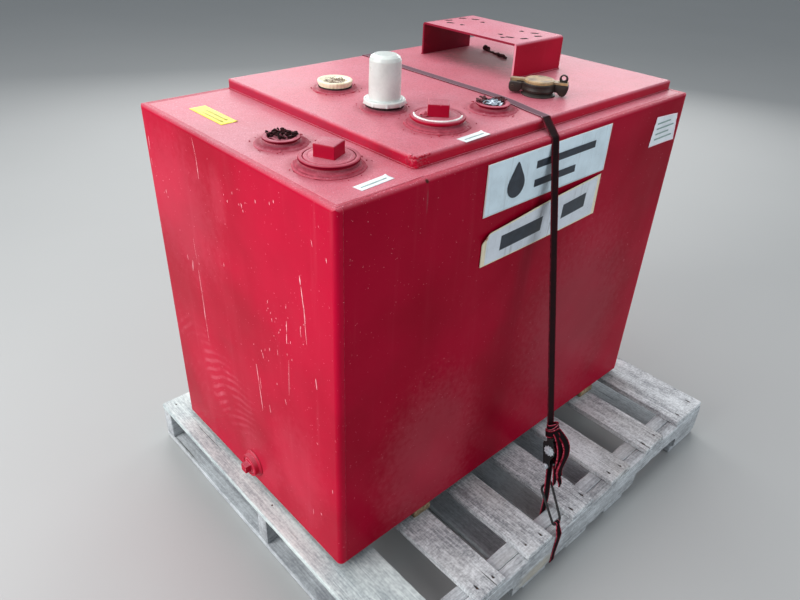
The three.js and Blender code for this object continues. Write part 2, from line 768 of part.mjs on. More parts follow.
// Round wire through corner points, each corner eased by a short curve.
function wire(corners, radius, bend, closed) {
  const count = corners.length;
  const line = [];
  corners.forEach((here, i) => {
    if (!closed && (i === 0 || i === count - 1)) {
      line.push(here.clone());
      return;
    }
    const before = corners[(i - 1 + count) % count];
    const after = corners[(i + 1) % count];
    const from = here.clone().addScaledVector(before.clone().sub(here).normalize(), bend);
    const to = here.clone().addScaledVector(after.clone().sub(here).normalize(), bend);
    line.push(...new THREE.QuadraticBezierCurve3(from, here, to).getPoints(ARC_STEPS));
  });
  const rings = line.length;
  const positions = [];
  const index = [];
  let normal = null;
  line.forEach((point, i) => {
    const before = closed ? line[(i - 1 + rings) % rings] : line[Math.max(i - 1, 0)];
    const after = closed ? line[(i + 1) % rings] : line[Math.min(i + 1, rings - 1)];
    const along = after.clone().sub(before).normalize();
    const guide = normal ?? new THREE.Vector3(0.31, 0.52, 0.79);
    normal = guide.clone().addScaledVector(along, -guide.dot(along)).normalize();
    const side = new THREE.Vector3().crossVectors(along, normal);
    for (let k = 0; k < WIRE_STEPS; k += 1) {
      const turn = 2 * Math.PI * k / WIRE_STEPS;
      const spot = point.clone().addScaledVector(normal, radius * Math.cos(turn));
      spot.addScaledVector(side, radius * Math.sin(turn));
      positions.push(spot.x, spot.y, spot.z);
    }
  });
  const spans = closed ? rings : rings - 1;
  for (let i = 0; i < spans; i += 1) {
    const a = i * WIRE_STEPS;
    const b = (i + 1) % rings * WIRE_STEPS;
    for (let k = 0; k < WIRE_STEPS; k += 1) {
      const next = (k + 1) % WIRE_STEPS;
      index.push(a + k, a + next, b + next, a + k, b + next, b + k);
    }
  }
  if (!closed) {
    const last = (rings - 1) * WIRE_STEPS;
    for (let k = 1; k < WIRE_STEPS - 1; k += 1) {
      index.push(0, k + 1, k, last, last + k, last + k + 1);
    }
  }
  return closedBody(positions, index);
}

const spot = (x, y, z) => new THREE.Vector3(x, y, z);
const sideways = spot(1, 0, 0);

// Points round an edge that runs along X, from one angle to another in the YZ plane.
function roundEdge(y, z, reach, from, to, xFrom, xTo) {
  const points = [];
  for (let i = 0; i <= ARC_STEPS; i += 1) {
    const share = i / ARC_STEPS;
    const angle = THREE.MathUtils.degToRad(from + (to - from) * share);
    const x = xFrom + (xTo - xFrom) * share;
    points.push({ at: spot(x, y + reach * Math.cos(angle), z + reach * Math.sin(angle)), wide: sideways });
  }
  return points;
}

// Angle in the YZ plane at which the strap leaves the tank's front edge.
const FRONT_TURN = THREE.MathUtils.radToDeg(Math.atan2(OUTWARD.z, OUTWARD.y));
const frontEdge = [TANK.y0 + TOP_ROUND, TANK.z1 - TOP_ROUND];
const leaving = roundEdge(...frontEdge, EDGE_REACH, FRONT_TURN, FRONT_TURN, ...FRONT_EDGE_X).at(-1).at;
const ratchetAt = leaving.clone().addScaledVector(LINE, (RATCHET_Z - leaving.z) / LINE.z);

// Ratchet pieces are drawn upright: X across, Y outward, Z down the strap.
function ratchetPoint(x, y, z) {
  return ratchetAt.clone().addScaledVector(ACROSS, x).addScaledVector(OUTWARD, y).addScaledVector(LINE, z);
}

function ratchetPlaced(body) {
  const { x, y, z } = ratchetAt;
  return body.transform([...ACROSS.toArray(), 0, ...OUTWARD.toArray(), 0, ...LINE.toArray(), 0, x, y, z, 1]);
}

const LAY_ON_X = new THREE.Matrix4().set(0, -1, 0, 0, 1, 0, 0, 0, 0, 0, 1, 0, 0, 0, 0, 1);

// Round bar along X from x0 to x1 through (y, z).
function bar(x0, x1, y, z, radius, steps = SMALL_STEPS) {
  const geometry = new THREE.CylinderGeometry(radius, radius, x1 - x0, steps);
  geometry.applyMatrix4(LAY_ON_X);
  geometry.translate((x0 + x1) / 2, y, z);
  return solid(geometry);
}

function outlined(points) {
  const shape = new THREE.Shape();
  points.forEach(([a, b], i) => (i ? shape.lineTo(a, b) : shape.moveTo(a, b)));
  return shape;
}

function mirrored(make) {
  return make(1).add(make(-1));
}

function spanned(sign, low, high, make) {
  return sign > 0 ? make(low, high) : make(-high, -low);
}

function ratchetFrame() {
  const plate = (a, b) => raisedAlongX(outlined(PLATE_OUTLINE), a, b);
  const plates = mirrored((sign) => spanned(sign, ...PLATES, plate));
  const out = PLATES[1];
  const bolt = bar(-BOLT.end, BOLT.end, 0, BOLT.z, BOLT.radius);
  const head = (a, b) => bar(a, b, 0, BOLT.z, BOLT.headRadius);
  const heads = mirrored((sign) => spanned(sign, out, BOLT.end, head));
  const rear = bar(-out, out, REAR_BAR.y, REAR_BAR.z, REAR_BAR.radius);
  const pawl = block(-out, out, ...PAWL);
  const hole = bar(-ARMS[0], ARMS[0], SPOOL.y, SPOOL.z, SPOOL.radius + PLAY);
  return plates.subtract(hole).add(bolt).add(heads).add(rear).add(pawl);
}

function wheelShape() {
  const points = [];
  const step = 2 * Math.PI / WHEEL.teeth;
  for (let i = 0; i < WHEEL.teeth; i += 1) {
    const tip = i * step;
    const root = tip + step * WHEEL.lean;
    points.push([SPOOL.y + WHEEL.tip * Math.cos(tip), SPOOL.z + WHEEL.tip * Math.sin(tip)]);
    points.push([SPOOL.y + WHEEL.root * Math.cos(root), SPOOL.z + WHEEL.root * Math.sin(root)]);
  }
  return outlined(points);
}

function ratchetSpool() {
  const shaft = bar(-SPOOL.end, SPOOL.end, SPOOL.y, SPOOL.z, SPOOL.radius);
  const stub = bar(-STUB.end, STUB.end, SPOOL.y, SPOOL.z, STUB.radius);
  const wheels = mirrored((sign) => spanned(sign, ...WHEELS, (a, b) => raisedAlongX(wheelShape(), a, b)));
  const cap = (a, b) => bar(a, b, SPOOL.y, SPOOL.z, STUB.capRadius);
  const caps = mirrored((sign) => spanned(sign, WHEELS[1], STUB.end, cap));
  return shaft.add(stub).add(wheels).add(caps);
}

function ratchetHandle() {
  const shape = new THREE.Shape();
  shape.moveTo(ARM.low, ARM.end);
  shape.lineTo(ARM.high, ARM.end);
  shape.lineTo(SPOOL.y + ARM.round, SPOOL.z);
  shape.absarc(SPOOL.y, SPOOL.z, ARM.round, 0, Math.PI, false);
  const arms = mirrored((sign) => spanned(sign, ...ARMS, (a, b) => raisedAlongX(shape, a, b)));
  const hole = bar(-STUB.end, STUB.end, SPOOL.y, SPOOL.z, STUB.radius + PLAY);
  const grip = bar(-ARMS[1], ARMS[1], GRIP.y, GRIP.z, GRIP.radius);
  return arms.subtract(hole).add(grip);
}

// Webbing from the back hook, over the tank and down to the spool.
function strapStations() {
  const hangY = SKID_HALF_Y + STRAP_OFF;
  const [topX, lean] = HANG_TOP;
  const stations = [
    { at: spot(HANG_X, hangY, HOOK_BAR_Z), wide: sideways },
    { at: spot(HANG_X, hangY, STRINGER_TOP), wide: sideways },
    { at: spot(topX, hangY - lean, BOARD_TOP), wide: sideways },
  ];
  const tankEdge = [TANK.y1 - TOP_ROUND_REAR, TANK.z1 - TOP_ROUND_REAR];
  const panRear = [PAN.y1 - TOP_ROUND, PAN.z1 - TOP_ROUND];
  const panFront = [PAN.y0 + TOP_ROUND, PAN.z1 - TOP_ROUND];
  stations.push(...roundEdge(...tankEdge, REAR_REACH, REAR_DOWN, REAR_TURN, REAR_EDGE_X, REAR_EDGE_X));
  stations.push(...roundEdge(...panRear, EDGE_REACH, REAR_TURN, 90, REAR_EDGE_X, REAR_EDGE_X));
  ROUTE_ON_PAN.forEach(([x, y], i) => {
    const [xa, ya] = ROUTE_ON_PAN[Math.max(i - 1, 0)];
    const [xb, yb] = ROUTE_ON_PAN[Math.min(i + 1, ROUTE_ON_PAN.length - 1)];
    stations.push({ at: spot(x, y, ON_PAN), wide: spot(ya - yb, xb - xa, 0).normalize() });
  });
  const slope = 90 + THREE.MathUtils.radToDeg(Math.atan2(PAN.z1 - TANK.z1, PAN.y0 - TANK.y0));
  stations.push(...roundEdge(...panFront, EDGE_REACH, 90, slope, ...PAN_EDGE_X));
  stations.push(...roundEdge(...frontEdge, EDGE_REACH, slope, FRONT_TURN, ...FRONT_EDGE_X));
  stations.push({ at: ratchetPoint(0, 0, 0), wide: sideways });
  stations.push({ at: ratchetPoint(0, 0, SPOOL.z), wide: sideways });
  return stations;
}

function sleeve(x, y, z, half, width) {
  const outer = bar(-width / 2, width / 2, 0, 0, half + EYE_GAP + STRAP_THICK);
  const inner = bar(-width, width, 0, 0, half + EYE_GAP);
  return outer.subtract(inner).translate(x, y, z);
}

function strapWeb() {
  const eye = sleeve(HANG_X, HOOK_BAR_Y, HOOK_BAR_Z, HOOK_RADIUS, STRAP_WIDTH);
  const rollHalf = SPOOL.rollHalf;
  const rollOut = bar(-rollHalf, rollHalf, SPOOL.y, SPOOL.z, SPOOL.roll);
  const rollIn = bar(-rollHalf - 1, rollHalf + 1, SPOOL.y, SPOOL.z, SPOOL.radius + PLAY);
  return ribbon(strapStations()).add(eye).add(ratchetPlaced(rollOut.subtract(rollIn)));
}

function hookBack() {
  const low = BOTTOM_TOP - HOOK_RADIUS - STRAP_LIFT;
  const inside = BACK_IN - HOOK_RADIUS - HOOK_PLAY;
  const outside = SKID_HALF_Y + HOOK_RADIUS + HOOK_PLAY;
  const side = [
    [inside, HOOK_TIP_Z],
    [inside, low],
    [outside, low],
    [HOOK_BAR_Y, HOOK_BAR_Z],
  ];
  const left = side.map(([y, z]) => spot(HANG_X - HOOK_HALF, y, z));
  const right = side.map(([y, z]) => spot(HANG_X + HOOK_HALF, y, z)).reverse();
  return wire([...left, ...right], HOOK_RADIUS, HOOK_BEND, false);
}

// Wound round the strap above the handle, then folded down over the ratchet.
function looseEnd() {
  const [, , , , low, high] = WRAP;
  const half = STRAP_WIDTH / 2 + PLAY;
  const deep = STRAP_OFF + WRAP_GAP;
  const wrap = block(...WRAP).subtract(block(-half, half, -deep, deep, low - 1, high + 1));
  const folds = [OUTER_FOLD, INNER_FOLD].map((fold) => {
    const folded = { wide: sideways, thick: FOLD_THICK };
    return ribbon(fold.map(([x, y, z, width]) => ({ ...folded, at: spot(x, y, z), width })));
  });
  return wrap.add(folds[0]).add(folds[1]);
}

// Short strap: from the ratchet bolt round the front stringers and up to its hook.
function edgeTurn(y, z, from, to, x, width) {
  return roundEdge(y, z, STRAP_OFF, from, to, x, x).map((station) => ({ ...station, width, sheared: true }));
}

function strapTail() {
  const eye = bar(-STRAP_WIDTH / 2, STRAP_WIDTH / 2, 0, BOLT.z, BOLT.radius + EYE_GAP + STRAP_THICK);
  const bore = bar(-STRAP_WIDTH, STRAP_WIDTH, 0, BOLT.z, BOLT.radius + EYE_GAP);
  const inner = FRONT_IN + STRAP_OFF;
  const outer = FRONT_OUT - STRAP_OFF;
  const [leaveX, leaveOut, leaveZ] = TAIL_LEAVES;
  const [eyeX, eyeY, eyeZ] = HOOK_EYE;
  const [[innerX, innerWidth], [outerX, outerWidth]] = TAIL_UNDER;
  const stations = [
    { at: ratchetPoint(0, 0, BOLT.z + BOLT.radius + EYE_GAP + STRAP_THICK / 2), wide: sideways },
    { at: spot(leaveX, inner + leaveOut, leaveZ), wide: sideways },
    ...TAIL_INNER.map(([x, z]) => ({ at: spot(x, inner, z), wide: sideways, sheared: true })),
    ...edgeTurn(FRONT_IN, BOTTOM_TOP, 0, -90, innerX, innerWidth),
    ...edgeTurn(FRONT_OUT, BOTTOM_TOP, -90, -180, outerX, outerWidth),
    ...TAIL_OUTER.map(([x, z, width]) => ({ at: spot(x, outer, z), wide: sideways, width, sheared: true })),
    ...edgeTurn(FRONT_OUT, STRINGER_TOP, TAIL_OVER.from, TAIL_OVER.to, TAIL_OVER.x, TAIL_OVER.width),
    { at: spot(eyeX, eyeY - TAIL_END[0], eyeZ - TAIL_END[1]), wide: sideways, width: EYE_WIDTH },
  ];
  return ribbon(stations)
    .add(ratchetPlaced(eye.subtract(bore)))
    .add(sleeve(...HOOK_EYE, HOOK_RADIUS, EYE_WIDTH));
}

function hookFront() {
  const [xa, ya, za] = HOOK_EYE;
  const [xb, yb, zb] = HOOK_TOP;
  const corners = [
    spot(xa - RING_LOW_HALF, ya, za),
    spot(xa + RING_LOW_HALF, ya, za),
    spot(xb + RING_TOP_HALF, yb, zb),
    spot(xb - RING_TOP_HALF, yb, zb),
  ];
  return wire(corners, HOOK_RADIUS, RING_BEND, true);
}

add("strap_web", strapWeb(), webbing);
add("strap_tail", strapTail(), webbing);
add("strap_loose_end", ratchetPlaced(looseEnd()), webbing);
add("ratchet_frame", ratchetPlaced(ratchetFrame()), black);
add("ratchet_spool", ratchetPlaced(ratchetSpool()), zinc);
add("ratchet_handle", ratchetPlaced(ratchetHandle()), black);
add("strap_hook_front", hookFront(), zinc);
add("strap_hook_back", hookBack(), zinc);

export default root;
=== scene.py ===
import math

import bmesh
import bpy
import numpy as np
from mathutils import Matrix, Vector


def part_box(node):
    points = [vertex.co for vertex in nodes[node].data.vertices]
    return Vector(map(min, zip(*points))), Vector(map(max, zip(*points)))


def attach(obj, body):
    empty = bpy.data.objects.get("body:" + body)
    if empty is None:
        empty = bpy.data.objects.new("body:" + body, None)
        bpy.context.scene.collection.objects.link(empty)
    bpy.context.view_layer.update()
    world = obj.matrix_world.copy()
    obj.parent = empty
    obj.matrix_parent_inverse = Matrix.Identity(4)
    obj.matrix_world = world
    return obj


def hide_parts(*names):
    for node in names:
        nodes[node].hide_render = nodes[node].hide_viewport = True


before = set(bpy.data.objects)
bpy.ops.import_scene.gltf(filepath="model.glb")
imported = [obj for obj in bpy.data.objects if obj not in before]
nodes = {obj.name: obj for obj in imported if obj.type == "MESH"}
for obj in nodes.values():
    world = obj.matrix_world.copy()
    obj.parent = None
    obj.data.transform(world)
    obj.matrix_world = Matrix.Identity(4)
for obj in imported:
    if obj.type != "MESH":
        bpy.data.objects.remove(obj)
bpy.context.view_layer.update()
mm = 0.001
mergeWithin = 2e-6

# The view

cameraSettings = {
    "place": (-1.14007, -1.00544, 1.44047),
    "forward": (0.58359, 0.60760, -0.53875),
    "right": (0.73689, -0.67500, 0.03696),
    "lens": 30.53,
    "sensor": 36.0,
}


def makeCamera(settings):
    lens = bpy.data.cameras.new("photo_camera")
    lens.lens = settings["lens"]
    lens.sensor_width = settings["sensor"]
    lens.clip_start = 0.02
    camera = bpy.data.objects.new("photo_camera", lens)
    bpy.context.scene.collection.objects.link(camera)
    forward = Vector(settings["forward"]).normalized()
    right = Vector(settings["right"]).normalized()
    turn = Matrix((right, right.cross(forward), -forward)).transposed().to_4x4()
    camera.matrix_world = Matrix.Translation(settings["place"]) @ turn
    bpy.context.scene.camera = camera


makeCamera(cameraSettings)
print("camera set")

# Small tools for meshes


def setMark(piece, title, values, kind="FLOAT"):
    mark = piece.data.attributes.new(title, kind, "POINT")
    field = "vector" if kind == "FLOAT_VECTOR" else "value"
    mark.data.foreach_set(field, np.asarray(values, np.float32).ravel())


def spots(piece):
    places = np.zeros(len(piece.data.vertices) * 3, np.float32)
    piece.data.vertices.foreach_get("co", places)
    return places.reshape(-1, 3)


# Shades smooth, apart from edges that meet at more than sharp degrees.
def shadeSmooth(piece, sharp=35):
    count = len(piece.data.polygons)
    piece.data.polygons.foreach_set("use_smooth", np.ones(count, bool))
    piece.data.set_sharp_from_angle(angle=math.radians(sharp))


# Merges points that coincide and turns every face outwards.
def cleaned(piece, sharp=35):
    work = bmesh.new()
    work.from_mesh(piece.data)
    bmesh.ops.remove_doubles(work, verts=work.verts, dist=mergeWithin)
    bmesh.ops.recalc_face_normals(work, faces=work.faces)
    work.to_mesh(piece.data)
    work.free()
    shadeSmooth(piece, sharp)
    return piece


def meshPiece(name, points, quads):
    mesh = bpy.data.meshes.new(name)
    places = np.asarray(points, np.float32).reshape(-1, 3)
    corners = np.asarray(quads, np.int32).reshape(-1, 4)
    mesh.vertices.add(len(places))
    mesh.vertices.foreach_set("co", places.ravel())
    mesh.loops.add(corners.size)
    mesh.loops.foreach_set("vertex_index", corners.ravel())
    mesh.polygons.add(len(corners))
    mesh.polygons.foreach_set("loop_start", np.arange(len(corners), dtype=np.int32) * 4)
    mesh.update(calc_edges=True)
    piece = bpy.data.objects.new(name, mesh)
    bpy.context.scene.collection.objects.link(piece)
    return piece


# Point j of ring i joins its neighbours along and round. Columns past the third are kept as the mark "flow".
# A capped surface gets a first and a last ring drawn in to one point, which cleaned() then merges.
def ringSurface(name, rings, loop=False, capped=True, around=True, sharp=35, clean=True):
    if capped and not loop:
        points = [np.broadcast_to(end.mean(1, keepdims=True), end.shape) for end in (rings[:1], rings[-1:])]
        rings = np.concatenate([points[0], rings, points[1]])
    rows, columns = rings.shape[:2]
    i = np.arange(rows if loop else rows - 1)[:, None]
    j = np.arange(columns if around else columns - 1)
    after = (i + 1) % rows
    beside = (j + 1) % columns
    corners = (i * columns + j, i * columns + beside, after * columns + beside, after * columns + j)
    piece = meshPiece(name, rings[..., :3], np.stack(np.broadcast_arrays(*corners), -1))
    if rings.shape[-1] == 6:
        setMark(piece, "flow", rings[..., 3:], "FLOAT_VECTOR")
    return cleaned(piece, sharp) if clean else piece


# Joins pieces into the first one.
def joined(pieces, name):
    bpy.ops.object.select_all(action="DESELECT")
    for piece in pieces:
        piece.select_set(True)
    bpy.context.view_layer.objects.active = pieces[0]
    bpy.ops.object.join()
    pieces[0].name = name
    pieces[0].data.name = name
    return pieces[0]


# A sum of sine waves with seeded pitches and phases, from -1 to 1: sum of a sin(2 pi f x + p).
def waves(along, seed, slow=2.0, fast=14.0, count=7):
    rng = np.random.default_rng(seed)
    pitch = rng.uniform(slow, fast, count)
    phase = rng.uniform(0, 2 * math.pi, count)
    size = rng.uniform(0.4, 1.0, count)
    value = np.sin(2 * math.pi * np.asarray(along)[..., None] * pitch + phase) * size
    return value.sum(-1) / size.sum()


def unit(vectors):
    return vectors / np.maximum(np.linalg.norm(vectors, axis=-1, keepdims=True), 1e-12)


# Polar coordinates: x = r cos a, y = r sin a.
def polar(radius, angle):
    return radius * np.cos(angle), radius * np.sin(angle)


# Matrix that turns rows of (x, y); its own rows are the turned directions of x and y.
def turnedBy(degrees):
    spin = math.radians(degrees)
    return np.array([[math.cos(spin), math.sin(spin)], [-math.sin(spin), math.cos(spin)]])


# Each corner of an outline gives way to a short curve: (1-t)^2 a + 2 t (1-t) corner + t^2 b.
def eased(outline, reach, steps=4, closed=True):
    points = np.asarray(outline, float)
    ends = []
    for neighbour in (1, -1):
        way = np.roll(points, neighbour, 0) - points
        size = np.maximum(np.linalg.norm(way, axis=1, keepdims=True), 1e-9)
        ends.append((points + way * np.minimum(0.45, reach / size))[:, None])
    t = np.linspace(0, 1, steps)[:, None]
    curve = (1 - t) ** 2 * ends[0] + 2 * t * (1 - t) * points[:, None] + t ** 2 * ends[1]
    if closed:
        return curve.reshape(-1, points.shape[1])
    return np.concatenate([points[:1], curve[1:-1].reshape(-1, points.shape[1]), points[-1:]])


# Profile of (radius, height) in mm turned about an upright axis: x = r cos a, y = r sin a.
# change(radius, height, angle) may return a rippled radius and height.
def turnedPiece(name, profile, centre, sides=96, closed=False, change=None, sharp=35):
    profile = np.asarray(profile, float)
    angle = np.arange(sides) * 2 * math.pi / sides
    radius, height = np.repeat(profile.T[..., None], sides, 2)
    if change is not None:
        radius, height = change(radius, height, angle)
    rings = np.stack([*polar(radius, angle), height], -1) * mm
    return ringSurface(name, rings + centre, loop=closed, capped=False, sharp=sharp)


# Round wire or bead along a path: a ring of the given radius across the path at each of its points.
def tubePiece(name, path, radius, sides=16, loop=False, guide=(0.31, 0.52, 0.79)):
    along = unit(np.roll(path, -1, 0) - np.roll(path, 1, 0) if loop else np.gradient(path, axis=0))
    side = unit(np.cross(along, guide))
    other = np.cross(side, along)
    angle = np.arange(sides) * 2 * math.pi / sides
    reach = np.broadcast_to(radius, (len(path),))[:, None, None]
    ring = side[:, None] * np.cos(angle)[:, None] + other[:, None] * np.sin(angle)[:, None]
    return ringSurface(name, path[:, None] + ring * reach, loop=loop, capped=not loop)


# Rows added between each start and its end, so that no two places are further apart than step.
def subdivided(starts, ends, step):
    counts = np.maximum((np.linalg.norm((ends - starts)[:, :3], axis=1) / step).astype(int), 1)
    index = np.repeat(np.arange(len(starts)), counts)
    first = np.concatenate([[0], np.cumsum(counts)[:-1]])
    share = ((np.arange(len(index)) - first[index]) / counts[index])[:, None]
    return starts[index] * (1 - share) + ends[index] * share


def atHeight(flat, height):
    return np.column_stack([flat, np.full(len(flat), height)])


# Section of a rounded rectangle, as shares of the half sizes and the inset of its round corners.
def sectionLoop(width, height, radius, step):
    turn = np.linspace(0, math.pi / 2, 4)
    arcs = []
    for quarter, corner in enumerate([(1, 1), (-1, 1), (-1, -1), (1, -1)]):
        spin = turn[::-1] if quarter % 2 else turn
        corner = np.tile(corner, (4, 1)).astype(float)
        arcs.append(np.hstack([corner, -corner * radius * (1 - np.stack(polar(1, spin), -1))]))
    rows = []
    for quarter, arc in enumerate(arcs):
        count = max(int((height if quarter % 2 else width) / step), 2)
        t = np.linspace(0, 1, count + 1)[1:-1, None]
        rows += [arc, (1 - t) * arc[-1] + t * arcs[(quarter + 1) % 4][0]]
    return np.split(np.concatenate(rows), 2, 1)


# A merged copy of a CAD node with its sharp edges bevelled. The mark "edge" is 1 on the bevels.
def softened(nodeName, width, segments=2, sharp=28):
    source = nodes[nodeName]
    work = bmesh.new()
    work.from_mesh(source.data)
    bmesh.ops.remove_doubles(work, verts=work.verts, dist=mergeWithin)
    flat = math.radians(0.6)
    bmesh.ops.dissolve_limit(work, angle_limit=flat, verts=work.verts, edges=work.edges)
    edges = [e for e in work.edges if len(e.link_faces) == 2 and e.calc_face_angle() > math.radians(sharp)]
    layer = work.faces.layers.float.new("edge")
    if edges and width > 0:
        settings = {"segments": segments, "profile": 0.5, "affect": "EDGES", "clamp_overlap": True}
        made = bmesh.ops.bevel(work, geom=edges, offset=width, **settings)
        for face in made["faces"]:
            face[layer] = 1.0
    bmesh.ops.triangulate(work, faces=[f for f in work.faces if len(f.verts) > 4])
    mesh = bpy.data.meshes.new(nodeName + "_dressed")
    work.to_mesh(mesh)
    work.free()
    piece = bpy.data.objects.new(mesh.name, mesh)
    bpy.context.scene.collection.objects.link(piece)
    shadeSmooth(piece, 40)
    weighted = piece.modifiers.new("even_shading", "WEIGHTED_NORMAL")
    weighted.keep_sharp = True
    weighted.weight = 90
    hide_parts(nodeName)
    return piece


# A finish is a material and the slot that it stands in.
def dressed(piece, finish, body="tank"):
    material, ownSlot = finish
    piece.data.materials.clear()
    piece.data.materials.append(material)
    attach(piece, body)
    return piece


def centreOf(nodeName):
    low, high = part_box(nodeName)
    return Vector(((low.x + high.x) / 2, (low.y + high.y) / 2, low.z))


# Small tools for materials


def shade(red, green, blue):
    value = np.array([red, green, blue]) / 255
    linear = np.where(value <= 0.04045, value / 12.92, ((value + 0.055) / 1.055) ** 2.4)
    return (*linear.tolist(), 1.0)


def dimmed(colour, share):
    return tuple(min(1.0, part * share) for part in colour[:3]) + (1.0,)


# The node tree that is being filled: newMaterial and nodeGroup open one.
opened = {}


# Links the sockets among the inputs and sets the rest as constants.
def feed(node, inputs):
    for title, value in inputs.items():
        if isinstance(value, bpy.types.NodeSocket):
            node.id_data.links.new(value, node.inputs[title])
        else:
            node.inputs[title].default_value = value


def put(kind, inputs, **settings):
    node = opened["tree"].nodes.new("ShaderNode" + kind)
    for title, value in settings.items():
        setattr(node, title, value)
    feed(node, inputs)
    return node.outputs


def calc(operation, first, second=0.0):
    return put("Math", {0: first, 1: second}, operation=operation)[0]


def plus(first, second):
    return calc("ADD", first, second)


def minus(first, second):
    return calc("SUBTRACT", first, second)


def times(product, *factors):
    for factor in factors:
        product = calc("MULTIPLY", product, factor)
    return product


def vectorCalc(operation, *values):
    made = put("VectorMath", dict(enumerate(values)), operation=operation)
    return made["Value" if operation == "LENGTH" else "Vector"]


def axesOf(vector):
    return put("SeparateXYZ", {0: vector})


def between(value, low, high):
    inputs = {"Value": value, "From Min": low, "From Max": high}
    return put("MapRange", inputs, interpolation_type="SMOOTHSTEP")["Result"]


def level(factor, low, high):
    return put("MapRange", {"Value": factor, "To Min": low, "To Max": high})["Result"]


def tint(factor, first, second):
    return put("Mix", {0: factor, 6: first, 7: second}, data_type="RGBA")[2]


# Lays a tone over a colour as strongly as the product of the shares.
def laid(colour, tone, *shares):
    return tint(times(*shares), colour, tone)


def noise(place, scale, detail=3.0, roughness=0.55, distortion=0.0):
    inputs = {
        "Vector": place, "Scale": scale, "Detail": detail, "Roughness": roughness, "Distortion": distortion,
    }
    return put("TexNoise", inputs)["Fac"]


def stretched(place, scale, turn=0.0):
    return put("Mapping", {"Vector": place, "Scale": scale, "Rotation": (0, 0, turn)})["Vector"]


def markOf(title, output="Fac"):
    return put("Attribute", {}, attribute_name=title)[output]


def bumped(height, strength, distance, **under):
    return put("Bump", {"Height": height, "Strength": strength, "Distance": distance, **under})["Normal"]


def newMaterial(name):
    material = bpy.data.materials.new(name)
    material.use_nodes = True
    opened["tree"] = material.node_tree
    return material, put("TexCoord", {})["Object"]


# Which way a face looks: 1 where its normal points along the axis.
def looking(axis):
    return axesOf(put("TexCoord", {})["Normal"])[axis]


# Ends a material: what its shader is given.
def shaded(colour, roughness, normal, **others):
    inputs = {"Base Color": colour, "Roughness": roughness, "Normal": normal, **others}
    feed(opened["tree"].nodes["Principled BSDF"], inputs)


# A shader node group, given back as a function that puts it to use; build gives the values of its outputs.
def nodeGroup(name, build, inputs, outputs):
    tree = bpy.data.node_groups.new(name, "ShaderNodeTree")
    opened["tree"] = tree
    for way, sockets in (("INPUT", inputs), ("OUTPUT", outputs)):
        for title, kind in sockets.items():
            tree.interface.new_socket(name=title, in_out=way, socket_type="NodeSocket" + kind)
    given = tree.nodes.new("NodeGroupInput").outputs
    made = build(*(given[title] for title in inputs))
    feed(tree.nodes.new("NodeGroupOutput"), dict(zip(outputs, made)))
    return lambda *values: put("Group", dict(enumerate(values)), node_tree=tree)


# Effects shared by several finishes

crackTone = (0.012, 0.011, 0.010, 1)


# Specks: noise finer than a given pitch, kept above a threshold.
def specksMask(place, scale, start, width):
    grain = noise(place, scale, 2.0, 0.5)
    return [between(grain, start, plus(start, width))]


# Film: dust with a painted sheen on faces which look up, patchy at two sizes.
def filmMask(place, up, amount):
    lying = between(up, 0.25, 0.95)
    broad = level(noise(place, 7.0, 4.0, 0.6), 0.55, 1.45)
    fine = level(noise(place, 90.0, 3.0, 0.7), 0.7, 1.3)
    return [times(amount, lying, broad, fine)]


# Rubbed edges with a painted highlight: the bevel mark broken up by noise.
def rubbedHighlitMask(edge, place, amount):
    broken = between(noise(place, 42.0, 5.0, 0.65), 0.38, 0.62)
    return [times(edge, broken, amount)]


# Ring of settled dirt with painted shade: flat distance from a centre, strongest at a radius and gone a
# spread away.
def ringMask(place, centre, radius, spread):
    flat = vectorCalc("MULTIPLY", vectorCalc("SUBTRACT", place, centre), (1, 1, 0))
    off = calc("ABSOLUTE", minus(vectorCalc("LENGTH", flat), radius))
    near = minus(1.0, calc("DIVIDE", off, spread))
    rough = level(noise(place, 55.0, 4.0, 0.6), 0.3, 1.2)
    return [times(between(near, 0.0, 1.0), rough)]


# Blotch: distance from a centre scaled to an ellipsoid, with a noisy border.
def blotchMask(place, centre, scale):
    scaled = vectorCalc("MULTIPLY", vectorCalc("SUBTRACT", place, centre), scale)
    border = level(noise(place, 70.0, 4.0, 0.6), -0.45, 0.45)
    return [between(plus(vectorCalc("LENGTH", scaled), border), 1.0, 0.35)]


# Weathered wood. Grain holds metres along, across and through the board, shifted for each board.
def timberLook(grain, pale, dark, sawShare):
    def streaks(scale, detail, roughness, distortion=0.0, turn=0.0):
        return noise(stretched(grain, scale, turn), 1.0, detail, roughness, distortion)

    bands = streaks((1.6, 62.0, 62.0), 5.0, 0.62, 0.6)
    fibre = streaks((7.0, 420.0, 420.0), 3.0, 0.6)
    pitted = streaks((70.0, 190.0, 190.0), 3.0, 0.65)
    wander = streaks((2.2, 9.0, 9.0), 3.0, 0.5)
    saw = streaks((300.0, 110.0, 110.0), 2.0, 0.6, 0.3, 0.5)
    crack = between(streaks((3.4, 120.0, 120.0), 2.0, 0.4, turn=0.02), 0.29, 0.23)
    patch = noise(grain, 9.0, 4.0, 0.6)
    sawn = times(minus(saw, 0.5), sawShare)
    mixed = times(bands, 0.30)
    for part, share in ((fibre, 0.30), (pitted, 0.32), (wander, 0.25)):
        mixed = plus(mixed, times(part, share))
    mixed = plus(mixed, sawn)
    mixed = plus(mixed, times(minus(patch, 0.5), 0.35))
    colour = tint(between(mixed, 0.38, 0.76), dark, pale)
    height = plus(mixed, times(sawn, 1.4))
    height = minus(height, times(crack, 0.9))
    return laid(colour, crackTone, crack, 0.8), height, fibre


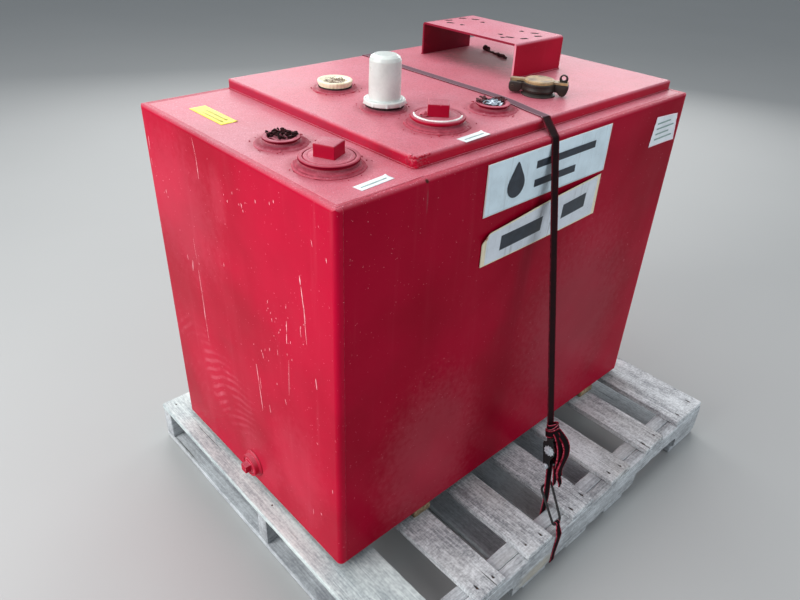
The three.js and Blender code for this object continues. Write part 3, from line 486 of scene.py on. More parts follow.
# Webbing. Flow holds metres along, share across (-1 to 1) and a face number.
def weaveLook(flow, ribs):
    part = axesOf(flow)
    turn = times(part["X"], ribs)
    row = calc("SINE", times(part["Y"], 26.0))
    shifted = calc("SINE", plus(turn, times(row, 1.6)))
    height = plus(times(shifted, 0.6), times(row, 0.5))
    out = calc("ABSOLUTE", part["Y"])
    rows = times(plus(calc("SINE", turn), row), 0.5)
    return height, between(out, 0.62, 0.74), between(out, 0.88, 0.94), rows


mask = {"Mask": "Float"}
specks = nodeGroup(
    "specks", specksMask, {"Place": "Vector", "Scale": "Float", "From": "Float", "Width": "Float"}, mask,
)
film = nodeGroup("dust_film", filmMask, {"Place": "Vector", "Up": "Float", "Amount": "Float"}, mask)
rubbedAndHighlit = nodeGroup("rubbed_and_highlit_edges", rubbedHighlitMask, {"Edge": "Float", "Place": "Vector", "Amount": "Float"}, mask)
dirtAndShadeRing = nodeGroup(
    "dirt_and_shade_ring", ringMask, {"Place": "Vector", "Centre": "Vector", "Radius": "Float", "Spread": "Float"},
    mask,
)
blotch = nodeGroup("blotch", blotchMask, {"Place": "Vector", "Centre": "Vector", "Scale": "Vector"}, mask)
timber = nodeGroup(
    "weathered_timber", timberLook, {"Grain": "Vector", "Pale": "Color", "Dark": "Color", "Saw": "Float"},
    {"Colour": "Color", "Height": "Float", "Fibre": "Float"},
)
weave = nodeGroup(
    "webbing_weave", weaveLook, {"Flow": "Vector", "Rib": "Float"},
    {"Height": "Float", "Border": "Float", "Edge": "Float", "Rows": "Float"},
)

# Finishes

paintSettings = {
    "deep": shade(162, 0, 36),
    "bright": shade(190, 2, 49),
    "pale": shade(232, 136, 152),
    "dust": shade(210, 150, 164),
    "grimeAndShade": shade(110, 52, 62),
    "ringDustAndShade": shade(146, 34, 56),
    "slotEdgeShade": shade(128, 28, 50),
    "slotNearHighlight": shade(232, 150, 166),
    "slotWallShade": shade(30, 14, 16),
    "wipeShift": 0.045,
    "wipeCurve": 2.3,
    "wipePitch": 280.0,
}


# Wiped arcs: sin(pitch (a + curve b^2)), with a and b along the two diagonals of the end wall.
def wipedArcs(place):
    s = paintSettings
    parts = axesOf(place)
    rise = times(plus(parts["Y"], parts["Z"]), math.sqrt(0.5))
    off = times(minus(parts["Y"], parts["Z"]), math.sqrt(0.5))
    off = plus(off, s["wipeShift"])
    curve = times(off, off, s["wipeCurve"])
    turn = times(plus(rise, curve), s["wipePitch"])
    bend = times(noise(place, 7.0, 2.0, 0.5), 11.0)
    return between(calc("SINE", plus(turn, bend)), -0.4, 1.0)


# The bracket's slots from inside: painted shade on the plate's side edges with a painted highlight near the
# near leg, and painted shade on the slot walls below its face.
def slotLightAndShade(place, up, colour, slots):
    edgeOn = between(calc("ABSOLUTE", looking("X")), 0.60, 0.90)
    nearLeg = between(axesOf(place)["Y"], slots["nearLeg"] + 0.0015, slots["nearLeg"])
    plateEdgeLight = tint(nearLeg, paintSettings["slotEdgeShade"], paintSettings["slotNearHighlight"])
    colour = laid(colour, plateEdgeLight, edgeOn, 0.85)
    apart = vectorCalc("ABSOLUTE", vectorCalc("SUBTRACT", place, slots["centre"]))
    room = axesOf(vectorCalc("SUBTRACT", slots["reach"], apart))
    inside = calc("MINIMUM", calc("MINIMUM", room["X"], room["Y"]), room["Z"])
    upright = between(calc("ABSOLUTE", up), 0.96, 0.86)
    return laid(colour, paintSettings["slotWallShade"], between(inside, 0.0, 0.001), upright)


# Gloss red paint: slow tone changes, vertical wash streaks, light specks, dust with a painted sheen on top
# and rubbed edges with a painted highlight.
# A depth below 1 darkens the red: a shaded copy, painted shade for faces that get less light.
def redPaint(name, dust, speckled, edge, streaks, rings=(), blots=(), waviness=0.35, wipes=(), depth=1.0,
             gloss=0.26, slots=None, ringShadeAndDust=paintSettings["ringDustAndShade"], sideShade=None):
    material, place = newMaterial("red_paint_" + name)
    pale, dustTone, grimeAndShade = (paintSettings[key] for key in ("pale", "dust", "grimeAndShade"))
    up = looking("Z")
    tone = noise(place, 3.2, 4.0, 0.5)
    deep, bright = (dimmed(paintSettings[key], depth) for key in ("deep", "bright"))
    colour = tint(between(tone, 0.3, 0.7), deep, bright)
    side = between(calc("ABSOLUTE", up), 0.7, 0.2)
    wash = noise(stretched(place, (34.0, 34.0, 1.6)), 1.0, 5.0, 0.62)
    colour = laid(colour, pale, between(wash, 0.54, 0.86), times(side, 0.12 * streaks))
    colour = laid(colour, pale, specks(place, 210.0, speckled, 0.02)[0], 0.6)
    # Dust with a painted sheen on the faces that look up.
    dusty = film(place, up, dust)[0]
    colour = laid(colour, dustTone, dusty)
    lying = between(up, 0.5, 0.9)
    colour = laid(colour, grimeAndShade, specks(place, 380.0, 0.52, 0.16)[0], lying, 0.34)
    colour = laid(colour, dustTone, specks(place, 290.0, 0.60, 0.10)[0], lying, 0.5)
    for centre, radius, spread, strength in rings:
        ring = dirtAndShadeRing(place, centre, radius, spread)[0]
        colour = laid(colour, ringShadeAndDust, ring, strength, lying)
    # Painted shade on upright faces, such as the collar sides under their rims.
    if sideShade is not None:
        colour = laid(colour, sideShade, side, 0.85)
    # Blots: rust and stains, and on some faces painted shade and painted reflections.
    for centre, scale, strength, stainAndPaintedLight in blots:
        colour = laid(colour, stainAndPaintedLight, blotch(place, centre, scale)[0], strength)
    for centre, scale, strength in wipes:
        spot = blotch(place, centre, scale)[0]
        broken = between(noise(place, 13.0, 3.0, 0.5), 0.36, 0.62)
        colour = laid(colour, pale, spot, broken, strength, wipedArcs(place))
    # Pale on the bevels: rubbed paint with a painted highlight along the edges.
    colour = laid(colour, pale, rubbedAndHighlit(markOf("edge"), place, edge)[0])
    if slots is not None:
        colour = slotLightAndShade(place, up, colour, slots)
    normal = bumped(noise(place, 5.5, 2.0, 0.4), waviness, 0.012)
    normal = bumped(noise(place, 520.0, 2.0, 0.5), 0.10, 0.0004, Normal=normal)
    grit = noise(place, 260.0, 4.0, 0.7)
    normal = bumped(grit, times(lying, 0.35), 0.0006, Normal=normal)
    rough = plus(level(tone, 0.30, 0.40), times(dusty, 0.35))
    coat = {"Specular IOR Level": gloss, "Coat Weight": gloss * 0.3, "Coat Roughness": 0.2}
    shaded(colour, rough, normal, **coat)
    return material, "red_paint"


woodSettings = {
    "warm": shade(158, 148, 134),
    "nail": (0.012, 0.010, 0.010, 1),
    # Dark tone for grime with painted shade near other pieces.
    "grimeAndShade": (0.055, 0.050, 0.045, 1),
}


# Weathered timber with nail stains and, near other pieces, grime with painted shade, both from marks on the
# piece.
def timberFinish(name, pale, dark, saw, slot="grey_wood", patches=()):
    material, place = newMaterial(name)
    grain = markOf("grain", "Vector")
    colour, height, fibre = timber(grain, shade(*pale), shade(*dark), saw)
    hue = noise(stretched(grain, (3.0, 7.0, 7.0)), 1.0, 2.0, 0.5)
    colour = laid(colour, woodSettings["warm"], between(hue, 0.50, 0.75), 0.24)
    for centre, scale, strength, tone in patches:
        spot = blotch(place, centre, scale)[0]
        colour = laid(colour, shade(*tone), spot, level(fibre, 0.2, 1.5), strength)
    ragged = times(markOf("stainAndPaintedLight"), level(fibre, 0.4, 1.7))
    colour = laid(colour, woodSettings["nail"], between(ragged, 0.28, 0.62))
    soiledAndShaded = level(noise(grain, 22.0, 5.0, 0.65), 0.18, 0.66)
    colour = laid(colour, woodSettings["grimeAndShade"], markOf("shade"), soiledAndShaded)
    shaded(colour, level(fibre, 0.80, 0.95), bumped(height, 0.55, 0.0012))
    return material, slot


plainSettings = {
    "metallic": 0.0,
    "edge": 0.0,
    "edgeTone": (150, 150, 150),
    "dust": 0.0,
    "scale": 60.0,
    "grit": 0.25,
    "dirt": 0.0,
    "speckle": 0.2,
    "more": {},
    "speckTone": shade(40, 36, 34),
    "dirtTone": shade(88, 72, 60),
    "dustTone": shade(176, 168, 162),
}


# Metal or plastic with mottling, grime in the hollows of noise and rubbed edges.
def plainFinish(name, slot, first, second, roughness, **changes):
    s = dict(plainSettings, **changes)
    scale = s["scale"]
    material, place = newMaterial(name)
    blend = noise(place, scale, 5.0, 0.6)
    colour = tint(between(blend, 0.32, 0.68), shade(*first), shade(*second))
    if s["speckle"] > 0:
        fine = specks(place, scale * 9.0, 0.60, 0.08)[0]
        colour = laid(colour, s["speckTone"], fine, s["speckle"])
    if s["dirt"] > 0:
        soiledAndShaded = between(noise(place, scale * 1.7, 4.0, 0.6), 0.48, 0.66)
        colour = laid(colour, s["dirtTone"], soiledAndShaded, s["dirt"])
    if s["edge"] > 0:
        worn = rubbedAndHighlit(markOf("edge"), place, s["edge"])[0]
        colour = laid(colour, shade(*s["edgeTone"]), worn)
    if s["dust"] > 0:
        colour = laid(colour, s["dustTone"], film(place, looking("Z"), s["dust"])[0])
    rough = level(blend, roughness - 0.06, roughness + 0.1)
    normal = bumped(noise(place, scale * 6.0, 3.0, 0.6), s["grit"], 0.0005)
    shaded(colour, rough, normal, Metallic=s["metallic"], **s["more"])
    return material, slot


webbingSettings = {
    "ribs": 1450.0,
    "gap": (0.004, 0.004, 0.005, 1),
    "thread": shade(206, 184, 190),
    "gloss": 0.07,
}


# Woven strap: ribs across, a coloured band and a thread near each border, dust with a painted sheen on top
# where it lies flat.
def webbingFinish(name, body, border, edge, top, dust):
    s = webbingSettings
    material, place = newMaterial(name)
    height, atBorder, atEdge, rows = weave(markOf("flow", "Vector"), s["ribs"])
    fade = noise(place, 30.0, 4.0, 0.6)
    colour = tint(between(fade, 0.35, 0.7), shade(*body), dimmed(shade(*body), 1.9))
    colour = laid(colour, s["gap"], minus(1.0, between(rows, -0.9, 0.5)))
    patchy = noise(place, 160.0, 3.0, 0.6)
    colour = laid(colour, shade(*border), atBorder, level(patchy, 0.35, 1.1))
    colour = laid(colour, shade(*edge), atEdge, between(patchy, 0.38, 0.62))
    flat = between(looking("Z"), 0.92, 0.995)
    # Dust with a painted sheen where the strap lies flat.
    colour = laid(colour, shade(*top), flat, dust, level(rows, 0.55, 1.1))
    colour = laid(colour, s["thread"], atEdge, times(flat, 0.8))
    gloss = {"Specular IOR Level": s["gloss"]}
    shaded(colour, level(fade, 0.62, 0.85), bumped(height, 0.6, 0.0005), **gloss)
    return material, "webbing"


# Printed sheet. Flow holds shares across and up the sheet; a border band and soiling from its rim.
def sheetFinish(name, slot, face, rim, rimFrom, roughness=0.42, dirt=0.35):
    material, place = newMaterial(name)
    flow = axesOf(markOf("flow", "Vector"))
    out = calc("MAXIMUM", calc("ABSOLUTE", flow["X"]), calc("ABSOLUTE", flow["Y"]))
    cloud = noise(place, 16.0, 5.0, 0.6)
    colour = tint(between(cloud, 0.3, 0.75), shade(*face), dimmed(shade(*face), 0.82))
    colour = laid(colour, shade(*rim), between(out, rimFrom, rimFrom + 0.015))
    streak = noise(stretched(place, (90.0, 90.0, 7.0)), 1.0, 4.0, 0.6)
    colour = laid(colour, shade(110, 104, 98), between(streak, 0.55, 0.8), dirt)
    fleck = specks(place, 300.0, 0.70, 0.03)[0]
    colour = laid(colour, shade(70, 60, 58), fleck, 0.5)
    normal = bumped(noise(place, 120.0, 3.0, 0.5), 0.12, 0.0006)
    shaded(colour, level(cloud, roughness, roughness + 0.12), normal)
    return material, slot


deckVent, spaceVent = centreOf("deck_vent_collar"), centreOf("interstitial_vent_ring")
reliefVent, sparePort = centreOf("emergency_vent_ring"), centreOf("spare_collar")
returnPort, gaugePort, fillPort = (centreOf(kind + "_collar") for kind in ("return", "gauge", "fill"))
bracketLow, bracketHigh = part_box("pump_bracket")
bracketCentre = (bracketLow + bracketHigh) / 2
panLow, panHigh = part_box("inner_tank_top")
wallLow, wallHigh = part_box("tank_front_wall")
endLow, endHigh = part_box("tank_left_end")

# Rings of dirt with painted shade round the ports: centre, radius, spread and strength.
deckRings = [(deckVent, 0.052, 0.018, 0.62), (spaceVent, 0.068, 0.018, 0.58)]
panRings = [
    (returnPort, 0.052, 0.018, 0.50),
    (gaugePort, 0.054, 0.020, 0.50),
    (reliefVent, 0.070, 0.020, 0.56),
    (sparePort, 0.052, 0.018, 0.52),
    (fillPort, 0.046, 0.026, 0.25),
]
# Painted shade on the skirts just under the collar rims.
skirtRings = [
    (deckVent, 0.043, 0.014, 1.1),
    (spaceVent, 0.059, 0.013, 1.0),
    (reliefVent, 0.059, 0.013, 1.0),
    (sparePort, 0.043, 0.014, 1.1),
    (returnPort, 0.044, 0.011, 0.9),
    (gaugePort, 0.048, 0.012, 0.9),
]
# Blots: centre, scale of the ellipsoid along each axis, strength and tone.
# Under the bracket: a grey patch of dust and water, darker as painted shade where the bracket shades the pan.
under = (bracketCentre.x + 0.02, bracketCentre.y + 0.03, panHigh.z)
# Painted shade on the pan's left side.
panSideShade = (panLow.x - 0.002, bracketCentre.y, wallHigh.z + 0.010)
farLeg = (bracketCentre.x, bracketHigh.y - 0.005, bracketCentre.z)
panBlots = [
    (under, (7.5, 6.4, 20.0), 0.75, shade(128, 100, 100)),
    (panSideShade, (160.0, 1.6, 55.0), 0.60, shade(146, 44, 68)),
]
wallBlots = [
    ((-0.366, wallLow.y, 0.992), (170.0, 60.0, 190.0), 0.95, shade(60, 34, 26)),
    ((-0.364, wallLow.y, 0.955), (420.0, 60.0, 34.0), 0.55, shade(150, 70, 78)),
    # Painted reflections: two broad pale patches on the front wall.
    ((-0.30, wallLow.y, 0.30), (5.0, 20.0, 3.4), 0.16, shade(206, 120, 130)),
    ((0.20, wallLow.y, 0.45), (3.6, 20.0, 2.6), 0.14, shade(190, 120, 130)),
]
endBlots = [
    ((endLow.x, 0.117, 0.884), (60.0, 26.0, 12.0), 0.10, shade(226, 110, 128)),
    ((endLow.x, 0.300, 0.80), (10.0, 4.6, 4.6), 0.16, shade(214, 96, 116)),
    ((endLow.x, -0.110, 0.320), (30.0, 8.0, 5.6), 0.11, shade(226, 104, 122)),
    ((endLow.x, 0.050, 0.230), (30.0, 9.0, 10.0), 0.14, shade(214, 96, 112)),
]
# Painted shade on the inner face of the bracket's far leg.
legShade = [(farLeg, (5.0, 120.0, 6.0), 0.7, shade(92, 22, 42))]
endWipes = [
    ((endLow.x, 0.280, 0.385), (10.0, 6.2, 6.6), 0.21),
    ((endLow.x, 0.150, 0.345), (10.0, 8.5, 8.5), 0.15),
]
# Where the bracket paint lays painted shade and highlight: the slot walls, and the plate's edges by the near
# leg.
slotArea = {
    "centre": (bracketCentre.x, bracketCentre.y, bracketHigh.z - 0.003),
    "reach": (bracketHigh.x - bracketCentre.x - 0.010, bracketHigh.y - bracketCentre.y - 0.006, 0.006),
    "nearLeg": bracketLow.y + 0.0055,
}

# Walls: a darker copy of the same red (depth 0.80), painted shade for the less lit walls.
wallPaint = redPaint("wall", 0.22, 0.735, 0.6, 0.4, blots=wallBlots, waviness=0.55, depth=0.80, gloss=0.05)
endPaint = redPaint("end", 0.30, 0.725, 1.0, 0.8, blots=endBlots, waviness=0.45, wipes=endWipes, gloss=0.07)
deckPaint = redPaint("deck", 0.48, 0.72, 1.0, 0.5, deckRings)
panPaint = redPaint("pan", 0.49, 0.72, 1.0, 0.5, panRings, panBlots)
# Fittings, collars and heads: darker copies of the red (depth below 1), painted shade on their less lit
# faces.
fittingPaint = redPaint(
    "fitting", 0.42, 0.71, 0.4, 0.4, skirtRings, waviness=0.1, depth=0.74, gloss=0.10,
    ringShadeAndDust=shade(132, 18, 44),
)
collarPaint = redPaint(
    "collar", 0.46, 0.71, 0.4, 0.4, skirtRings, waviness=0.1, depth=0.85, gloss=0.06,
    ringShadeAndDust=shade(124, 14, 40), sideShade=shade(84, 0, 24),
)
headPaint = redPaint("head", 0.42, 0.74, 0.35, 0.3, waviness=0.1, depth=0.72, gloss=0.12)
bracketPaint = redPaint(
    "bracket", 0.66, 0.76, 0.7, 0.6, blots=legShade, waviness=0.2, gloss=0.16, slots=slotArea,
)
boardWood = timberFinish("board_wood", (232, 236, 238), (114, 117, 122), 0.30)
leftWood = timberFinish("left_board_wood", (226, 236, 233), (130, 141, 147), 0.14)
stringerWood = timberFinish("stringer_wood", (214, 219, 222), (138, 141, 146), 0.15)
crackedWood = timberFinish(
    "cracked_wood", (222, 227, 230), (112, 114, 118), 0.15,
    patches=[((-0.175, -0.510, 0.038), (11.0, 30.0, 34.0), 0.75, (200, 190, 168))],
)
packerWood = timberFinish("packer_wood", (182, 158, 122), (104, 84, 60), 0.35, "tan_wood")
bronzeMetal = plainFinish(
    "cast_bronze", "bronze", (54, 40, 33), (28, 22, 20), 0.5, metallic=0.25, edge=0.7, edgeTone=(112, 88, 64),
    dust=0.10, scale=55.0, grit=0.5,
)
lidMetal = plainFinish(
    "lid_metal", "lid_metal", (190, 156, 108), (136, 116, 90), 0.5, metallic=0.25, edge=0.6,
    edgeTone=(206, 178, 132), dust=0.2, scale=45.0, grit=0.35, dirt=0.5,
)
creamPlastic = plainFinish(
    "cream_plastic", "cream_plastic", (250, 244, 214), (236, 226, 186), 0.45, dust=0.12, scale=50.0, grit=0.1,
    dirt=0.12, speckle=0.05,
)
dirtyCream = plainFinish(
    "cream_plastic_dirty", "cream_plastic", (226, 214, 196), (196, 176, 150), 0.75, dust=0.1, scale=75.0,
    grit=0.8, dirt=0.85,
)
whitePlastic = plainFinish(
    "white_plastic", "white_plastic", (216, 221, 216), (204, 209, 204), 0.26, scale=30.0, grit=0.02,
    dirt=0.05, speckle=0.0,
    more={"Subsurface Weight": 0.35, "Subsurface Radius": (0.9, 0.85, 0.75), "Subsurface Scale": 0.012},
)
zincSteel = plainFinish(
    "zinc_steel", "zinc_steel", (216, 222, 228), (160, 166, 174), 0.3, metallic=0.25, edge=0.5,
    edgeTone=(246, 246, 246), scale=150.0, grit=0.3, dirt=0.25,
)
blackSteel = plainFinish(
    "black_steel", "black_steel", (30, 28, 30), (18, 17, 19), 0.42, metallic=0.3, edge=0.7,
    edgeTone=(120, 116, 116), dust=0.12, scale=90.0, grit=0.3,
)
hookSteel = plainFinish(
    "hook_steel", "zinc_steel", (16, 13, 16), (8, 7, 9), 0.45, metallic=0.1, edge=0.4, edgeTone=(70, 62, 66),
    scale=90.0, grit=0.3,
)
rubberRag = plainFinish(
    "torn_rubber", "black_steel", (22, 7, 9), (58, 20, 24), 0.75, scale=120.0, speckle=0.0,
    more={"Specular IOR Level": 0.12},
)
darkRag = plainFinish("torn_dark_paint", "black_steel", (44, 8, 14), (92, 14, 28), 0.6, scale=150.0)
crumbs = plainFinish("dry_crumbs", "cream_plastic", (104, 78, 64), (176, 154, 136), 0.85, scale=400.0)
silverTape = plainFinish(
    "silver_tape", "zinc_steel", (206, 218, 228), (96, 110, 126), 0.30, metallic=0.4, scale=120.0, grit=0.6,
)
whiteTape = plainFinish("thread_tape", "white_plastic", (244, 242, 238), (222, 216, 212), 0.55, scale=150.0)
nailHead = plainFinish("nail_head", "zinc_steel", (48, 42, 40), (86, 62, 48), 0.65, metallic=0.6, scale=300.0)
scratchMark = plainFinish("bare_scratch", "red_paint", (246, 206, 210), (226, 150, 160), 0.6, scale=260.0)
boreDark = plainFinish("bore_shadow", "red_paint", (40, 14, 18), (24, 12, 14), 0.8, scale=200.0)
strapCloth = webbingFinish("strap_cloth", (36, 9, 13), (78, 12, 22), (116, 30, 46), (146, 112, 124), 0.85)
tailCloth = webbingFinish("tail_cloth", (18, 6, 9), (136, 8, 34), (214, 84, 106), (70, 50, 56), 0.3)
signFace = sheetFinish("sign_face", "sign_board", (228, 246, 255), (240, 226, 222), 0.975)
lowerFace = sheetFinish("sign_lower_face", "sign_board", (226, 232, 240), (240, 226, 196), 0.93, 0.46, 0.5)
signMark = plainFinish("sign_mark", "sign_board", (26, 34, 46), (44, 54, 66), 0.4, grit=0.08)
paperFace = sheetFinish("paper_face", "white_plastic", (246, 250, 255), (255, 228, 238), 0.93, 0.6, 0.12)
labelWhite = sheetFinish("label_white", "white_plastic", (236, 242, 244), (222, 228, 230), 0.96, 0.4, 0.25)
labelYellow = sheetFinish("label_yellow", "white_plastic", (250, 232, 60), (236, 216, 60), 0.97, 0.4, 0.2)
labelInk = plainFinish("label_ink", "white_plastic", (128, 158, 152), (160, 182, 176), 0.5, scale=80.0)
oliveInk = plainFinish("olive_ink", "white_plastic", (168, 160, 62), (196, 186, 70), 0.5, scale=80.0)
print("finishes made")

# The skid

boardSettings = {
    "corner": 0.0016,
    "stepAlong": 0.0045,
    "stepRound": 0.0048,
    "edgeWave": 0.0006,
    "endWave": 0.0011,
    "faceWave": 0.0004,
    "nailFromEnd": 0.023,
    "nailApart": 0.29,
    "stainWide": 0.0027,
    "stainLong": 0.0078,
    "inset": 0.0012,
}
stringerSettings = {
    "corner": 0.0022,
    "stepAlong": 0.006,
    "stepRound": 0.008,
    "edgeWave": 0.0016,
    "notchCentre": 0.374,
    "notchHalf": 0.112,
    "notchTop": 0.054,
    "notchRound": 0.014,
    "notchSteps": (-0.0006, 0.00001, 0.001, 0.002, 0.004, 0.006, 0.009, 0.012, 0.015),
    "endWave": 0.003,
}


# Rings of a timber: section shares times half sizes, corners drawn in, edges eaten by slow waves.
# The lower face may rise along the length, as at a stringer's notches.
def timberRings(low, high, axis, seed, settings, along, bottom=None):
    low, high = np.array(low), np.array(high)
    across = 1 - axis
    width = high[across] - low[across]
    thick = high[2] - low[2]
    shares, insets = sectionLoop(width, thick, settings["corner"], settings["stepRound"])
    floor = np.full(len(along), low[2]) if bottom is None else bottom
    half = ((high[2] - floor) / 2)[:, None]
    middle = ((high[2] + floor) / 2)[:, None]
    a, b = shares.T[:, None]
    cornerness = (np.abs(a) * np.abs(b)) ** 10
    number = (np.sign(a) + 2 * np.sign(b)).astype(int)
    eat = np.zeros((len(along), shares.shape[0]))
    for k, code in enumerate((3, 1, -1, -3)):
        line = waves(along, seed * 10 + k, 1.0, 26.0, 9)[:, None]
        eat += np.where(number == code, np.maximum(line + 0.25, 0), 0)
    pull = settings["edgeWave"] * eat * cornerness
    side = (width / 2) * a + insets[:, 0] - np.sign(a) * pull
    height = middle + half * b + insets[:, 1] - np.sign(b) * pull
    ring = np.zeros((len(along), shares.shape[0], 3))
    ring[..., axis] = along[:, None]
    ring[..., across] = (high[across] + low[across]) / 2 + side
    ring[..., 2] = height
    return ring


# Draws in the first and last ring, so that the end grain has a soft arris and a slightly uneven face.
def timberEnds(ring, axis, seed, depth):
    inset = boardSettings["inset"]
    ends = []
    for end in (ring[:1], ring[-1:]):
        centre = end.mean(1, keepdims=True)
        size = np.abs(end - centre).max(1, keepdims=True)
        drawn = centre + (end - centre) * (1 - inset / np.maximum(size, 1e-6))
        drawn[..., axis] = end[..., axis]
        ends.append(drawn)
    ring = ring.copy()
    ring[0, :, axis] += inset
    ring[-1, :, axis] -= inset
    rings = np.concatenate([ends[0], ring, ends[1]])
    fromLow = rings[..., axis] - rings[0, 0, axis]
    fromHigh = rings[-1, 0, axis] - rings[..., axis]
    reach = min(0.02, (rings[-1, 0, axis] - rings[0, 0, axis]) / 8)
    for away, way, step in ((fromLow, 1, 5), (fromHigh, -1, 6)):
        uneven = 0.5 + 0.5 * waves(rings[..., 1 - axis], seed + step, 6.0, 40.0, 6)
        rings[..., axis] += way * depth * uneven * np.clip(1 - away / reach, 0, 1)
    return rings


# Wood in place of a CAD timber, with its grain, nail stains, and grime with painted shade as marks.
def timberPiece(nodeName, ring, axis, seed, depth, wood, grimeAndShade, stainAndPaintedLight=None):
    piece = ringSurface(nodeName + "_wood", timberEnds(ring, axis, seed, depth), sharp=50)
    places = spots(piece)
    shift = np.random.default_rng(seed).uniform(-4, 4, 3)
    setMark(piece, "grain", places[:, [axis, 1 - axis, 2]] + shift, "FLOAT_VECTOR")
    for title, amount in (("stainAndPaintedLight", stainAndPaintedLight), ("shade", grimeAndShade)):
        setMark(piece, title, amount(places) if amount else np.zeros(len(places)))
    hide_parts(nodeName)
    dressed(piece, wood)


# Sum of Gaussian spots, long along the board and trailing towards its middle.
def nailStain(nails, top, spread):
    def stainAndPaintedLight(places):
        dx = places[:, None, 0] - nails[:, 0]
        dy = places[:, None, 1] - nails[:, 1]
        trail = np.where(dy * np.sign(nails[:, 1] + 1e-6) < 0, 1.5, 0.7)
        wide, long = boardSettings["stainWide"] * spread, boardSettings["stainLong"] * spread
        near = (dx / wide) ** 2 + (dy / (long * trail)) ** 2
        return np.exp(-near).sum(1) * (places[:, 2] > top - 0.003)
    return stainAndPaintedLight


# Painted shade with dirt under and beside the tank: full under it, fading within a few centimetres in front,
# behind and to its right, and faint left of it.
def tankShade(places):
    beyond = np.maximum(wallLow.y - 0.005 - places[:, 1], 0) + np.maximum(places[:, 1] - 0.43, 0)
    beyond += np.maximum(places[:, 0] - 0.54, 0)
    left = places[:, 0] < endLow.x + 0.003
    return np.where(left, 0.03, 0.55 * np.exp(-beyond / 0.035) + 0.05)


# A spread makes it a deck board, with nails and their stains.
def makeBoard(nodeName, seed, wood, spread=None):
    low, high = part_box(nodeName)
    s = boardSettings
    along = np.linspace(low.y, high.y, int((high.y - low.y) / s["stepAlong"]))
    ring = timberRings(low, high, 1, seed, s, along)
    ring[..., 2] -= s["faceWave"] * (0.5 + 0.5 * waves(ring[..., 1], seed + 3, 0.6, 4.0, 5))
    if spread is None:
        timberPiece(nodeName, ring, 1, seed, s["endWave"], wood, None)
        return []
    centre = (low.x + high.x) / 2
    reach = (high.x - low.x) * s["nailApart"]
    rows = [low.y + s["nailFromEnd"], 0.0, high.y - s["nailFromEnd"]]
    nails = np.array([[centre + side * reach, row] for row in rows for side in (-1, 1)])
    nails += np.random.default_rng(seed + 40).uniform(-0.006, 0.006, nails.shape)
    timberPiece(nodeName, ring, 1, seed, s["endWave"], wood, tankShade, nailStain(nails, high.z, spread))
    return atHeight(nails, high.z).tolist()


# Height of a stringer's lower face: flat, an upright wall, a quarter round and the notch's top.
def notchedFloor(along, base):
    s = stringerSettings
    depth = s["notchHalf"] - np.abs(np.abs(along) - s["notchCentre"])
    inward = np.clip(s["notchRound"] - depth, 0, s["notchRound"])
    arc = s["notchTop"] - s["notchRound"] + np.sqrt(s["notchRound"] ** 2 - inward ** 2)
    return np.where(depth > 0, arc, base)


def makeStringer(nodeName, seed, wood):
    low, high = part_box(nodeName)
    s = stringerSettings
    even = np.arange(low.x, high.x, s["stepAlong"])
    edges = np.array([
        sign * (s["notchCentre"] + side * (s["notchHalf"] - inset))
        for sign in (-1, 1) for side in (-1, 1) for inset in s["notchSteps"]
    ])
    apart = np.abs(even[:, None] - edges).min(1)
    along = np.sort(np.concatenate([even[apart > 0.0015], edges, [high.x]]))
    ring = timberRings(low, high, 0, seed, s, along, notchedFloor(along, low.z))

    # A light even amount on the stringer, more on its lower part below 60 mm.
    def grimeAndShade(places):
        return 0.10 + 0.35 * (places[:, 2] < 0.060)

    timberPiece(nodeName, ring, 0, seed, s["endWave"], wood, grimeAndShade)


def makePacker(nodeName, seed):
    low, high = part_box(nodeName)
    along = np.linspace(low.y, high.y, int((high.y - low.y) / 0.006))
    ring = timberRings(low, high, 1, seed, dict(boardSettings, corner=0.0012), along)
    timberPiece(nodeName, ring, 1, seed, 0.001, packerWood, lambda places: np.full(len(places), 0.2))


nailSettings = {
    "profile": [(0, 0.4), (1.6, 0.3), (2.5, 0.1), (2.5, -1.2), (0, -1.2)],
    "sink": 0.0003,
    "sides": 14,
}


def makeSkid():
    nails = makeBoard("deck_board_1", 107, leftWood, 0.6)
    for number in range(2, 8):
        nails += makeBoard(f"deck_board_{number}", 100 + number * 7, boardWood, 1.0)
    for number in range(1, 6):
        makeBoard(f"bottom_board_{number}", 300 + number * 7, stringerWood)
    makeStringer("stringer_front_companion", 500, crackedWood)
    for place, seed in (("front", 509), ("middle", 518), ("back", 527)):
        makeStringer("stringer_" + place, seed, stringerWood)
    makePacker("bearer_left", 611)
    makePacker("bearer_right", 617)
    s = nailSettings
    heads = [turnedPiece("nail", s["profile"], (x, y, z - s["sink"]), s["sides"]) for x, y, z in nails]
    dressed(joined(heads, "board_nails"), nailHead)


makeSkid()
print("skid made")

# The tank


def makeTank():
    for nodeName, paint in (
        ("tank_left_end", endPaint),
        ("tank_right_end", endPaint),
        ("tank_front_wall", wallPaint),
        ("tank_back_wall", wallPaint),
        ("tank_floor", wallPaint),
        ("tank_deck", deckPaint),
        ("inner_tank_top", panPaint),
    ):
        dressed(softened(nodeName, 0.0007, 2), paint)


# Weld bead: a rippled tube, half sunk in the corner that it fills.
def weldBead(name, path, radius, ripple, pitch, seed, loop=False):
    step = np.linalg.norm(np.diff(path, axis=0, append=path[:1] if loop else path[-1:]), axis=1)
    along = np.cumsum(step)
    size = radius * (1 + ripple * np.sin(along * 2 * math.pi / pitch) + 0.35 * waves(along, seed, 6.0, 60.0))
    dressed(tubePiece(name, path, size, 10, loop, guide=(0.05, 0.09, 1.0)), fittingPaint)


